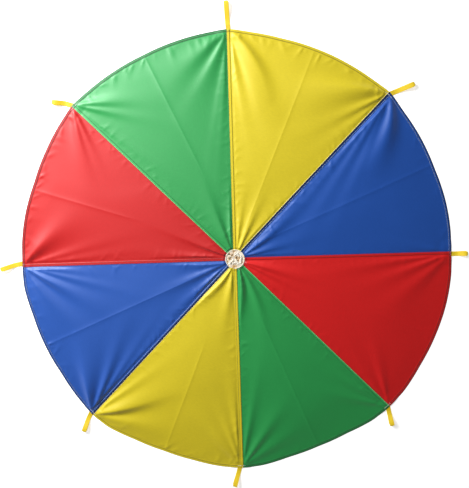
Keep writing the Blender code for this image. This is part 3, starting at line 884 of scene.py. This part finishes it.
def strap_mesh(name, reach, turn):
    along, height = loop_path(reach)
    ahead = np.stack([np.gradient(along), np.gradient(height)], axis=-1)
    ahead /= np.linalg.norm(ahead, axis=1)[:, None]
    outward = np.stack([ahead[:, 1], -ahead[:, 0]], axis=-1)
    upper = list(STRAP_SECTION[::-1]) + [(-across, up) for across, up in STRAP_SECTION[1:]]
    section = upper + [(across, -up) for across, up in upper[-2:0:-1]]
    travelled = np.concatenate([[0.0], np.cumsum(np.hypot(np.diff(along), np.diff(height)))])
    rings = []
    for across, up in section:
        x = along + outward[:, 0] * up * WEBBING_THICKNESS / 2
        z = height + outward[:, 1] * up * WEBBING_THICKNESS / 2
        x, y = laid(x, across * half_widths(along, reach), turn)
        rings.append(np.stack([x, y, z], axis=-1))
    rings = np.stack(rings, axis=1)
    stations, sides = rings.shape[:2]
    mesh = smooth_mesh(name, rings.reshape(-1, 3), tube_faces(stations, sides, turned=True))
    place = mesh.attributes.new("strap_place", "FLOAT_VECTOR", "POINT")
    widths = np.tile([across * WEBBING_WIDTH / 2 for across, _ in section], stations)
    from_hem = np.repeat(along, sides)
    places = np.stack([widths, np.repeat(travelled, sides), from_hem], axis=-1)
    place.data.foreach_set("vector", places.ravel())
    return mesh


# %% Hang each strap on its hinge
joints = {joint["name"]: joint for joint in frame["joints"]}


def make_strap(seam):
    side = SIDES[seam]
    joint = joints["flop_" + side]
    hinge = Vector(joint["pos_m"])
    ahead = Vector((0, 0, 1)).cross(Vector(joint["axis"])).normalized()
    if ahead.dot(hinge) < 0:
        ahead = -ahead
    reach = LOOP_REACH * LOOP_REACH_SHARES[seam]
    mesh = strap_mesh("webbing_" + side, reach, math.radians(LAY_TURN_DEGREES[seam]))
    turn = math.atan2(ahead.y, ahead.x)
    mesh.transform(Matrix.Translation(hinge) @ Matrix.Rotation(turn, 4, "Z"))
    piece = add_piece("webbing_" + side, mesh, None)
    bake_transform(piece)
    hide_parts("handle_" + side, "handle_tail_" + side)
    return piece


straps = [make_strap(seam) for seam in range(GORE_COUNT)]

# %% [markdown]
# ## The net over the vent
#
# The vent is closed by a soft net that has more cloth in it than the opening needs, so a second layer of it
# stands in small crumpled folds over the first. A flat picture with holes would look dead from the side. The
# strands are therefore real tubes, laid over a crumpled surface in two crossing families.

# %% A crumpled surface for the net
NET_RADIUS = 0.0405
NET_OPEN_RADIUS = 0.0352
NET_BASE = 0.0006
NET_LAYER_LIFT = 0.0009
NET_HELD_SHARE = 0.75
HOLLOW_SINK_SHARE = 0.8
CREST_HALF_WIDTH = 0.0030
# Crests of the crumpled layer: both ends and the height
NET_CRESTS = (
    ((0.030, 0.028), (0.036, 0.005), 0.0048),
    ((0.022, -0.020), (0.028, 0.018), 0.0050),
    ((-0.029, -0.025), (-0.009, -0.003), 0.0055),
    ((0.012, 0.025), (-0.001, 0.018), 0.0042),
    ((-0.036, 0.018), (-0.020, 0.013), 0.0044),
    ((0.017, 0.014), (0.000, 0.028), 0.0044),
    ((-0.010, -0.018), (0.010, -0.012), 0.0036),
    ((0.002, -0.002), (0.014, -0.020), 0.0036),
)
# Places where the net lies low, with the size of each and how much painted shade it gets there
NET_HOLLOWS = (
    ((-0.025, 0.020), 0.0055, 1.0),
    ((-0.011, 0.018), 0.0050, 0.9),
    ((-0.022, 0.003), 0.0055, 1.0),
    ((-0.003, 0.031), 0.0045, 0.8),
    ((0.007, 0.005), 0.0060, 0.9),
    ((0.018, 0.004), 0.0045, 0.7),
    ((-0.033, -0.010), 0.0050, 0.5),
    ((-0.004, -0.033), 0.0090, 0.55),
    ((0.013, -0.006), 0.0040, 0.8),
    ((0.033, -0.016), 0.0040, 0.5),
)


def crests(x, y):
    total = np.zeros_like(x)
    for (ax, ay), (bx, by), height in NET_CRESTS:
        length = math.hypot(bx - ax, by - ay)
        ux, uy = (bx - ax) / length, (by - ay) / length
        along = np.clip((x - ax) * ux + (y - ay) * uy, 0.0, length)
        away = np.hypot(x - ax - along * ux, y - ay - along * uy)
        total = np.maximum(total, height * np.exp(-((away / CREST_HALF_WIDTH) ** 2)))
    return total


def hollows(x, y):
    total = np.zeros_like(x)
    for (hx, hy), size, share in NET_HOLLOWS:
        total = np.maximum(total, share * np.exp(-(((x - hx) ** 2 + (y - hy) ** 2) / size**2)))
    return total


def net_height(x, y, layer):
    past_held = np.hypot(x, y) / NET_OPEN_RADIUS - NET_HELD_SHARE
    held_down = 1 - smooth_step(past_held / (1 - NET_HELD_SHARE))
    raised = (NET_LAYER_LIFT + crests(x, y)) * (1 - HOLLOW_SINK_SHARE * hollows(x, y))
    return NET_BASE + layer * raised * held_down


# %% Strands of the net
NET_PITCH = 0.0017
STRAND_RADIUS = 0.00044
STRAND_STEP = 0.0011
STRAND_SIDES = 4
NET_TURN_DEGREES = (32, 58)
KNOT_SHARE = 0.8
FEWEST_STEPS = 4
# How pale each layer is by itself, how much painted shade darkens it in its hollows, and how much painted
# highlight paler it is on a crest
LAYER_PALENESS = (0.60, 0.66)
LAYER_SHADE = (0.6, 0.8)
CREST_PAINTED_HIGHLIGHT = (0.0, 0.5)
PALE_HEIGHT = 0.0042


def tube_rings(line, radius, sides):
    ahead = np.gradient(line, axis=0)
    ahead /= np.linalg.norm(ahead, axis=1)[:, None]
    aside = np.cross(ahead, (0.0, 0.0, 1.0))
    aside /= np.linalg.norm(aside, axis=1)[:, None]
    up = np.cross(aside, ahead)
    angles = math.tau * (np.arange(sides) + 0.5) / sides
    around = aside[:, None] * np.cos(angles)[None, :, None] + up[:, None] * np.sin(angles)[None, :, None]
    return line[:, None] + radius * around


def tubes_mesh(name, lines, radius, sides):
    points, faces, base = [], [], 0
    for line in lines:
        points.append(tube_rings(line, radius, sides).reshape(-1, 3))
        faces += tube_faces(len(line), sides, base)
        base += len(line) * sides
    return smooth_mesh(name, np.concatenate(points), faces)


def strand_lines(layer):
    """Lines of one layer of the net, and its painted shade and highlight along them."""
    lines, net_painted_shading = [], []
    for family in (0, 1):
        heading = math.radians(NET_TURN_DEGREES[layer]) + family * math.pi / 2
        count = int(NET_RADIUS / NET_PITCH)
        for number in range(-count, count + 1):
            offset = number * NET_PITCH
            half = math.sqrt(max(NET_RADIUS**2 - offset**2, 0.0))
            if half < FEWEST_STEPS * STRAND_STEP:
                continue
            along = np.arange(-half, half, STRAND_STEP)
            x = along * math.cos(heading) - offset * math.sin(heading)
            y = along * math.sin(heading) + offset * math.cos(heading)
            knot = STRAND_RADIUS * KNOT_SHARE * np.cos(math.pi * along / NET_PITCH + family * math.pi)
            lines.append(np.stack([x, y, net_height(x, y, layer) + knot], axis=-1))
            pale = LAYER_PALENESS[layer] - LAYER_SHADE[layer] * hollows(x, y)
            pale = pale + CREST_PAINTED_HIGHLIGHT[layer] * crests(x, y) / PALE_HEIGHT
            net_painted_shading.append(np.clip(pale, 0.0, 1.0))
    return lines, np.concatenate(net_painted_shading)


net_layers = []
for layer, layer_name in enumerate(("vent_net_low", "vent_net_crumpled")):
    layer_lines, net_painted_shading = strand_lines(layer)
    net_mesh = tubes_mesh(layer_name, layer_lines, STRAND_RADIUS, STRAND_SIDES)
    store_values(net_mesh, "net_painted_shading", np.repeat(net_painted_shading, STRAND_SIDES))
    net_layers.append(add_piece(layer_name, net_mesh, "canopy"))
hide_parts("vent_net")
print("each layer of the net has", len(layer_lines), "strands")

# %% [markdown]
# ## The binding round the vent
#
# A pale cord of tape is sewn over the ends of the gores. Stitches through such a tape draw it in and leave
# small beads between them, whose number is assumed. It is made as a ring of sections whose size wanders.

# %% Turn the binding
BINDING_INSIDE = 0.0374
BINDING_OUTSIDE = 0.0414
BINDING_BASE = 0.0021
BINDING_THICKNESS = 0.0010
BINDING_STEPS = 416
BINDING_WAVES = ((52, 0.00036, 0.0), (8, 0.00022, 0.0), (19, 0.00014, 1.1))
# Corners of the tape's section, as shares of its width and of its thickness
BINDING_SECTION = (
    ((0.0, 0.25), (0.06, 0.0), (0.5, 0.0), (0.94, 0.0), (1.0, 0.25))
    + ((0.97, 0.65), (0.80, 1.0), (0.5, 1.15), (0.20, 1.0), (0.03, 0.65))
)


def binding_wave(angle):
    return sum(height * np.sin(count * angle + phase) for count, height, phase in BINDING_WAVES)


def make_binding():
    angle = math.tau * np.arange(BINDING_STEPS) / BINDING_STEPS
    wave = binding_wave(angle)
    rings = []
    for across, up in BINDING_SECTION:
        radius = BINDING_INSIDE + across * (BINDING_OUTSIDE - BINDING_INSIDE) + wave * (2 * across - 1)
        height = BINDING_BASE + up * (BINDING_THICKNESS + wave)
        rings.append(np.stack([radius * np.cos(angle), radius * np.sin(angle), height], axis=-1))
    points = np.stack(rings, axis=1)
    index = np.arange(points.shape[0] * points.shape[1]).reshape(points.shape[:2])
    after, next_ring = np.roll(index, -1, axis=1), np.roll(index, -1, axis=0)
    faces = np.stack([index, next_ring, np.roll(next_ring, -1, axis=1), after], axis=-1).reshape(-1, 4)
    mesh = smooth_mesh("binding", points.reshape(-1, 3), faces.tolist())
    piece = add_piece("vent_binding_tape", mesh, "canopy")
    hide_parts("vent_binding")
    return piece


binding = make_binding()

# %% [markdown]
# ## Materials
#
# The cloth's colour is even, and its gloss is wide and soft. Its weave is too fine to be seen from standing
# height, so a plain weave of shiny yarn is assumed, and the thread sizes with it. The weave is one node group
# with named sockets, so cloth, strap and tape can each use it with their own thread size.

# %% Small helpers for node trees
def new_material(name):
    material = bpy.data.materials.new(name)
    material.use_nodes = True
    nodes = material.node_tree.nodes
    return material, nodes, material.node_tree.links, nodes["Principled BSDF"]


def feed(links, socket, value):
    """Set a socket to a plain number, or link the output of another node to it."""
    if isinstance(value, (int, float)):
        socket.default_value = value
    else:
        links.new(value, socket)


def math_node(nodes, links, operation, *values):
    node = nodes.new("ShaderNodeMath")
    node.operation = operation
    for socket, value in zip(node.inputs, values):
        feed(links, socket, value)
    return node.outputs[0]


def range_node(nodes, links, value, source, target):
    """A value carried over from one range to another, and held at both ends."""
    node = nodes.new("ShaderNodeMapRange")
    labels = ("Value", "From Min", "From Max", "To Min", "To Max")
    for label, given in zip(labels, (value, *source, *target)):
        feed(links, node.inputs[label], given)
    return node.outputs["Result"]


def raise_surface(nodes, links, shader, height, distance, strength=1.0):
    bump = nodes.new("ShaderNodeBump")
    bump.inputs["Strength"].default_value = strength
    bump.inputs["Distance"].default_value = distance
    links.new(height, bump.inputs["Height"])
    links.new(bump.outputs["Normal"], shader.inputs["Normal"])


def place_on_piece(nodes):
    return nodes.new("ShaderNodeTexCoord").outputs["Object"]


def ramp_node(nodes, links, value, *stops):
    """A colour ramp through stops, each a place on the ramp and its colour."""
    ramp = nodes.new("ShaderNodeValToRGB")
    elements = ramp.color_ramp.elements
    for _ in stops[2:]:
        elements.new(0.5)
    for element, (position, colour) in zip(elements, stops):
        element.position = position
        element.color = (*colour, 1.0)
    links.new(value, ramp.inputs["Fac"])
    return ramp.outputs["Color"]


def stored_value(nodes, name):
    node = nodes.new("ShaderNodeAttribute")
    node.attribute_name = name
    return node


def scaled_colour(nodes, links, colour, scale):
    node = nodes.new("ShaderNodeVectorMath")
    node.operation = "SCALE"
    links.new(colour, node.inputs[0])
    links.new(scale, node.inputs["Scale"])
    return node.outputs[0]


def new_group(name, inputs, outputs):
    group = bpy.data.node_groups.new(name, "ShaderNodeTree")
    for label, kind, value in inputs:
        socket = group.interface.new_socket(label, in_out="INPUT", socket_type=kind)
        if value is not None:
            socket.default_value = value
    for label, kind in outputs:
        group.interface.new_socket(label, in_out="OUTPUT", socket_type=kind)
    entry = group.nodes.new("NodeGroupInput")
    leave = group.nodes.new("NodeGroupOutput")
    return group, entry, leave


def place_group(nodes, group, **values):
    node = nodes.new("ShaderNodeGroup")
    node.node_tree = group
    for label, value in values.items():
        node.inputs[label.replace("_", " ")].default_value = value
    return node


# %% Plain weave as a node group
# Uneven yarn: its size as a texture scale, its detail, and how far it is drawn out along the threads
SLUB_SCALE = 260.0
SLUB_DETAIL = 3.0
SLUB_STRETCH = (1.0, 0.30, 1.0)


def build_weave_group():
    group, entry, leave = new_group(
        "plain weave",
        [
            ("Place", "NodeSocketVector", None),
            ("Thread pitch", "NodeSocketFloat", 0.0006),
        ],
        [("Height", "NodeSocketFloat"), ("Tone", "NodeSocketFloat")],
    )
    nodes, links = group.nodes, group.links
    split = nodes.new("ShaderNodeSeparateXYZ")
    links.new(entry.outputs["Place"], split.inputs[0])
    waves = []
    for axis in (0, 1):
        threads = math_node(nodes, links, "DIVIDE", split.outputs[axis], entry.outputs["Thread pitch"])
        turns = math_node(nodes, links, "MULTIPLY", threads, math.pi)
        waves.append(math_node(nodes, links, "SINE", turns))
    crossing = math_node(nodes, links, "MULTIPLY", waves[0], waves[1])
    height = math_node(nodes, links, "MULTIPLY_ADD", crossing, 0.5, 0.5)
    links.new(height, leave.inputs["Height"])
    slub = nodes.new("ShaderNodeTexNoise")
    slub.inputs["Scale"].default_value = SLUB_SCALE
    slub.inputs["Detail"].default_value = SLUB_DETAIL
    stretch = nodes.new("ShaderNodeVectorMath")
    stretch.operation = "MULTIPLY"
    stretch.inputs[1].default_value = SLUB_STRETCH
    links.new(entry.outputs["Place"], stretch.inputs[0])
    links.new(stretch.outputs[0], slub.inputs["Vector"])
    links.new(slub.outputs["Fac"], leave.inputs["Tone"])
    return group


weave_group = build_weave_group()
print("built node group:", weave_group.name)

# %% [markdown]
# ## Plies under thin cloth, and painted shade
#
# One ply of thin cloth lets more light through to a white floor than three plies do, so hems and bands can
# look darker than the cloth beside them. The light could be traced through the cloth, but a thin closed sheet
# makes that slow and noisy. Each gore instead knows how far every point is from its hem, from the edge of its
# band and from its neighbour, and one node group turns those distances into a tone, a painted shade in place
# of that light. The same group paints the shade along the rolled edge of the hem, round the vent's binding, in
# the grooves of the rows of thread, along the step of each band and on the cloth beside a neighbour's band.
# The tones are chosen colour by colour. A few are paler than a single ply, which light through the cloth
# wouldn't explain; beside the blue bands the yellow's paler strip is a painted highlight. No light passes
# through the cloth here.

# %% Tone of the hem and of the felled band, with painted shade, as a node group
# Strips of their own tone: the distance that they follow, their middle, half width and softness, and name
# Hem and Band tones are painted shade for the plies. Edge, Hem row, Row, Fold and Shade tones paint the shade
# along the rolled edge, in the stitch grooves, along the band's step and beside a neighbour's band. Where a
# Fold or Shade tone is above one it is a painted highlight
PLY_AND_SHADE_STRIPS = (
    ("From edge", 0.0, 0.0120, 0.0005, "Hem tone"),
    ("From edge", 0.0, 0.0046, 0.0010, "Edge tone"),
    ("From edge", HEM_STITCH_DEPTH, 0.0018, 0.0006, "Hem row tone"),
    ("From band edge", 0.0, 0.0120, 0.0005, "Band tone"),
    ("From band edge", 0.0, 0.0074, 0.0010, "Fold tone"),
    ("From band edge", BAND_HALF_WIDTH + STITCH_FROM_SEAM, 0.0010, 0.0006, "Row tone"),
    ("From neighbour", 0.0, 0.0024, 0.0012, "Shade tone"),
)


def build_ply_and_shade_group():
    names = ["From edge", "From band edge", "From neighbour"]
    names += sorted({strip[-1] for strip in PLY_AND_SHADE_STRIPS})
    inputs = [(name, "NodeSocketFloat", 1.0) for name in names]
    group, entry, leave = new_group("ply_and_shade_tone", inputs, [("Tone", "NodeSocketFloat")])
    nodes, links = group.nodes, group.links
    product = None
    for distance, middle, half_width, softness, tone in PLY_AND_SHADE_STRIPS:
        offset = math_node(nodes, links, "SUBTRACT", entry.outputs[distance], middle)
        away = math_node(nodes, links, "ABSOLUTE", offset)
        ends = (half_width - softness, half_width + softness)
        value = range_node(nodes, links, away, ends, (entry.outputs[tone], 1.0))
        product = value if product is None else math_node(nodes, links, "MULTIPLY", product, value)
    links.new(product, leave.inputs["Tone"])
    return group


ply_and_shade_group = build_ply_and_shade_group()
print("built node group:", ply_and_shade_group.name)

# %% Cloth in four colours
CLOTH_COLOURS = {
    "red": (0.600, 0.008, 0.008),
    "green": (0.015, 0.297, 0.062),
    "blue": (0.011, 0.073, 0.358),
    "yellow": (0.660, 0.530, 0.015),
}
# Tint of each cloth's gloss
GLOSS_TINTS = {
    "red": (1.00, 0.70, 0.70),
    "green": (0.85, 1.00, 0.88),
    "blue": (0.72, 0.82, 1.00),
    "yellow": (1.00, 0.95, 0.70),
}
# A tone for each gore, fitted under this lamp, so gores of one colour differ by painted light and shade. Real
# cloth from one roll would differ less
GORE_PAINTED_TONES = (1.02, 1.00, 1.00, 0.87, 1.08, 1.01, 0.96, 1.07)
# Tones of the plies and of the painted shade in each colour, beside the tone of a single ply. Yellow's
# Shade_tone, above one, is a painted highlight
PLY_AND_SHADE_TONE_NAMES = (
    "Hem_tone", "Edge_tone", "Hem_row_tone", "Row_tone", "Band_tone", "Fold_tone", "Shade_tone",
)
PLY_AND_SHADE_TONES = {
    "red": (0.92, 0.40, 0.30, 0.45, 1.0, 0.95, 0.70),
    "green": (0.90, 0.30, 0.20, 0.45, 1.12, 1.10, 0.50),
    "blue": (0.95, 0.16, 0.45, 0.60, 0.90, 0.14, 0.60),
    "yellow": (1.0, 1.0, 0.55, 0.60, 1.0, 1.12, 1.45),
}
CLOTH_THREAD_PITCH = 0.00045
CLOTH_BUMP = 0.00003
CLOTH_BUMP_STRENGTH = 0.6
CLOTH_ROUGHNESS = (0.49, 0.53)
# How far the yarn's tone wanders from that of its dye, and the part of the noise that it wanders over
DYE_SPREAD = 0.035
DYE_NOISE = (0.30, 0.70)
# Strength of each gore's gloss, fitted under this lamp, as its tone is
GORE_GLOSS = (0.60, 0.75, 1.00, 0.90, 0.95, 0.75, 0.75, 0.60)


def cloth_material(gore):
    colour = gore_names[gore].split("_")[1]
    material, nodes, links, shader = new_material("satin_" + gore_names[gore][5:])
    weave = place_group(nodes, weave_group, Thread_pitch=CLOTH_THREAD_PITCH)
    links.new(place_on_piece(nodes), weave.inputs["Place"])
    ply_and_shade_tone = place_group(nodes, ply_and_shade_group, **dict(zip(PLY_AND_SHADE_TONE_NAMES, PLY_AND_SHADE_TONES[colour])))
    for distance in ("From edge", "From band edge", "From neighbour"):
        stored = stored_value(nodes, distance.lower().replace(" ", "_"))
        links.new(stored.outputs["Fac"], ply_and_shade_tone.inputs[distance])
    shade = [part * GORE_PAINTED_TONES[gore] for part in CLOTH_COLOURS[colour]]
    thin, thick = ([(1 + spread) * part for part in shade] for spread in (-DYE_SPREAD, DYE_SPREAD))
    dyed = ramp_node(nodes, links, weave.outputs["Tone"], (DYE_NOISE[0], thin), (DYE_NOISE[1], thick))
    links.new(scaled_colour(nodes, links, dyed, ply_and_shade_tone.outputs["Tone"]), shader.inputs["Base Color"])
    rough = range_node(nodes, links, weave.outputs["Tone"], (0.0, 1.0), CLOTH_ROUGHNESS)
    links.new(rough, shader.inputs["Roughness"])
    raise_surface(nodes, links, shader, weave.outputs["Height"], CLOTH_BUMP, CLOTH_BUMP_STRENGTH)
    shader.inputs["Specular IOR Level"].default_value = GORE_GLOSS[gore]
    shader.inputs["Specular Tint"].default_value = (*GLOSS_TINTS[colour], 1.0)
    return material


for gore, piece in enumerate(gores):
    piece.data.materials.append(cloth_material(gore))
print("dyed", len(gores), "gores in", len(CLOTH_COLOURS), "colours")

# %% Thread
THREAD_COLOURS = {
    "red": (0.200, 0.020, 0.020),
    "green": (0.020, 0.100, 0.040),
    "blue": (0.450, 0.550, 0.750),
    "yellow": (0.250, 0.180, 0.030),
}
EDGE_THREAD_COLOURS = {
    "red": (0.300, 0.040, 0.120),
    "green": (0.800, 0.740, 0.500),
    "blue": (0.950, 0.900, 0.550),
    "yellow": (0.420, 0.270, 0.020),
}
TACK_THREAD = (0.92, 0.92, 0.90)
TWIST_SCALE = 900.0
TWIST_WANDER = 1.5
TWIST_SHADE = 0.75
THREAD_ROUGHNESS = 0.5


def thread_material(name, colour):
    material, nodes, links, shader = new_material("thread_" + name)
    twist = nodes.new("ShaderNodeTexWave")
    twist.inputs["Scale"].default_value = TWIST_SCALE
    twist.inputs["Distortion"].default_value = TWIST_WANDER
    links.new(place_on_piece(nodes), twist.inputs["Vector"])
    dark = [TWIST_SHADE * part for part in colour]
    twisted = ramp_node(nodes, links, twist.outputs["Fac"], (0.0, dark), (1.0, colour))
    links.new(twisted, shader.inputs["Base Color"])
    shader.inputs["Roughness"].default_value = THREAD_ROUGHNESS
    return material


threads = {name: thread_material(name, shade) for name, shade in THREAD_COLOURS.items()}
edge_threads = {name: thread_material("edge_" + name, shade) for name, shade in EDGE_THREAD_COLOURS.items()}
tack_thread = thread_material("tack", TACK_THREAD)
for name, rows in zip(gore_names, rows_sewn):
    colour = name.split("_")[1]
    for row, row_material in zip(rows, (threads[colour], edge_threads[colour], tack_thread)):
        row.data.materials.append(row_material)

# %% Webbing, net and tape
WEBBING_COLOUR = (0.64, 0.455, 0.012)
WEBBING_THREAD_PITCH = 0.0011
WEBBING_SHADE = 0.80
WEBBING_BUMP = 0.00025
WEBBING_ROUGHNESS = 0.6
# The straps give off light of their own, a painted light that keeps them bright where the lamp is weak
STRAP_PAINTED_GLOW = 0.50
# The strap is darker where it comes out of the hem, over this length
ROOT_LENGTH = 0.006
ROOT_SHADE = 0.85
NET_ROUGHNESS = 0.35
NET_IVORY = (1.00, 0.95, 0.82)
NET_GOLD = (0.72, 0.44, 0.14)
NET_BROWN = (0.10, 0.055, 0.018)
TAPE_COLOUR = (0.86, 0.80, 0.68)
TAPE_PATCH_SCALE = 60.0
TAPE_THREAD_PITCH = 0.0007
TAPE_BUMP = 0.0002
TAPE_ROUGHNESS = 0.45


def webbing_material():
    material, nodes, links, shader = new_material("webbing")
    place = stored_value(nodes, "strap_place").outputs["Vector"]
    weave = place_group(nodes, weave_group, Thread_pitch=WEBBING_THREAD_PITCH)
    links.new(place, weave.inputs["Place"])
    dark = [WEBBING_SHADE * part for part in WEBBING_COLOUR]
    woven = ramp_node(nodes, links, weave.outputs["Height"], (0.1, dark), (0.7, WEBBING_COLOUR))
    split = nodes.new("ShaderNodeSeparateXYZ")
    links.new(place, split.inputs[0])
    root = range_node(nodes, links, split.outputs["Z"], (0.0, ROOT_LENGTH), (ROOT_SHADE, 1.0))
    shaded = scaled_colour(nodes, links, woven, root)
    links.new(shaded, shader.inputs["Base Color"])
    # Painted light: the strap glows in its own colour
    links.new(shaded, shader.inputs["Emission Color"])
    shader.inputs["Emission Strength"].default_value = STRAP_PAINTED_GLOW
    raise_surface(nodes, links, shader, weave.outputs["Height"], WEBBING_BUMP)
    shader.inputs["Roughness"].default_value = WEBBING_ROUGHNESS
    return material


def net_material():
    material, nodes, links, shader = new_material("net")
    net_painted_shading = stored_value(nodes, "net_painted_shading").outputs["Fac"]
    # Painted light and shade: brown in the net's hollows, gold between, ivory on its crests
    stops = ((0.05, NET_BROWN), (0.40, NET_GOLD), (0.72, NET_IVORY))
    links.new(ramp_node(nodes, links, net_painted_shading, *stops), shader.inputs["Base Color"])
    shader.inputs["Roughness"].default_value = NET_ROUGHNESS
    return material


def tape_material():
    material, nodes, links, shader = new_material("tape")
    place = place_on_piece(nodes)
    patches = nodes.new("ShaderNodeTexNoise")
    patches.inputs["Scale"].default_value = TAPE_PATCH_SCALE
    links.new(place, patches.inputs["Vector"])
    stops = ((0.34, NET_GOLD), (0.48, TAPE_COLOUR), (0.60, TAPE_COLOUR))
    links.new(ramp_node(nodes, links, patches.outputs["Fac"], *stops), shader.inputs["Base Color"])
    weave = place_group(nodes, weave_group, Thread_pitch=TAPE_THREAD_PITCH)
    links.new(place, weave.inputs["Place"])
    raise_surface(nodes, links, shader, weave.outputs["Height"], TAPE_BUMP)
    shader.inputs["Roughness"].default_value = TAPE_ROUGHNESS
    return material


webbing = webbing_material()
for piece in straps:
    piece.data.materials.append(webbing)
net_finish = net_material()
for piece in net_layers:
    piece.data.materials.append(net_finish)
binding.data.materials.append(tape_material())
print("materials:", len(bpy.data.materials))

# %% [markdown]
# ## Floor and light
#
# One large soft lamp stands low to the upper left. It brightens the slopes that face it, and the light falls
# away across the cloth, which is what makes it read as satin. An even sky fills the rest. The white floor
# sweeps up into a white wall all round, as paper does in a studio, so no edge of it shows from the side.

# %% Floor that sweeps up into a wall
FLOOR_RADIUS = 8.0
FLOOR_DEPTH = 0.0006
FLOOR_SIDES = 96
SWEEP_RADIUS = 2.5
SWEEP_STEPS = 12
WALL_TOP = 5.5
FLOOR_COLOUR = (0.86, 0.86, 0.86)
FLOOR_ROUGHNESS = 0.9
# How far the floor glows in its own white near the cloth and at the wall, and where the change lies
FLOOR_GLOWS = (0.62, 1.0)
GLOW_CHANGE = (2.0, 5.0)


def seen_directly(nodes, links):
    """One for rays that see a background, straight or in a reflection, and nought for its light."""
    rays = nodes.new("ShaderNodeLightPath")
    seen = math_node(nodes, links, "MAXIMUM", rays.outputs["Is Camera Ray"], rays.outputs["Is Glossy Ray"])
    return math_node(nodes, links, "MAXIMUM", seen, rays.outputs["Is Transmission Ray"])


def floor_mesh():
    swing = np.linspace(0.0, math.pi / 2, SWEEP_STEPS)
    radius = np.append(FLOOR_RADIUS + SWEEP_RADIUS * np.sin(swing), FLOOR_RADIUS + SWEEP_RADIUS)
    height = np.append(SWEEP_RADIUS * (1 - np.cos(swing)), WALL_TOP) - FLOOR_DEPTH
    angle = math.tau * np.arange(FLOOR_SIDES) / FLOOR_SIDES
    x, y = np.outer(radius, np.cos(angle)), np.outer(radius, np.sin(angle))
    points = np.stack([x, y, np.repeat(height[:, None], FLOOR_SIDES, axis=1)], axis=-1)
    return smooth_mesh("floor", points.reshape(-1, 3), tube_faces(*x.shape)[:-1])


def make_floor():
    floor = new_object("floor", floor_mesh())
    material, nodes, links, shader = new_material("floor")
    shader.inputs["Base Color"].default_value = (*FLOOR_COLOUR, 1.0)
    shader.inputs["Roughness"].default_value = FLOOR_ROUGHNESS
    shader.inputs["Emission Color"].default_value = (1.0, 1.0, 1.0, 1.0)
    away = nodes.new("ShaderNodeVectorMath")
    away.operation = "LENGTH"
    links.new(place_on_piece(nodes), away.inputs[0])
    glow = range_node(nodes, links, away.outputs["Value"], GLOW_CHANGE, FLOOR_GLOWS)
    seen_glow = math_node(nodes, links, "MULTIPLY", seen_directly(nodes, links), glow)
    links.new(seen_glow, shader.inputs["Emission Strength"])
    floor.data.materials.append(material)
    return floor


floor = make_floor()
print("the wall stands", FLOOR_RADIUS + SWEEP_RADIUS, "m from the vent")

# %% Lamp and sky
LAMP_PLACE = (-2.04, 1.84, 1.8)
LAMP_SIZE = 1.6
LAMP_POWER = 192.0
SKY_STRENGTH = 0.115

lamp_data = bpy.data.lights.new("soft_lamp", "AREA")
lamp_data.shape = "DISK"
lamp_data.size = LAMP_SIZE
lamp_data.energy = LAMP_POWER
lamp = new_object("soft_lamp", lamp_data)
lamp.location = LAMP_PLACE
lamp.rotation_euler = (-Vector(LAMP_PLACE)).to_track_quat("-Z", "Y").to_euler()

world = bpy.data.worlds.new("sky")
bpy.context.scene.world = world
world.use_nodes = True
sky = world.node_tree.nodes["Background"]
sky.inputs["Color"].default_value = (1.0, 1.0, 1.0, 1.0)
sky.inputs["Strength"].default_value = SKY_STRENGTH
print("lamp", round(Vector(LAMP_PLACE).length, 2), "m from the vent")
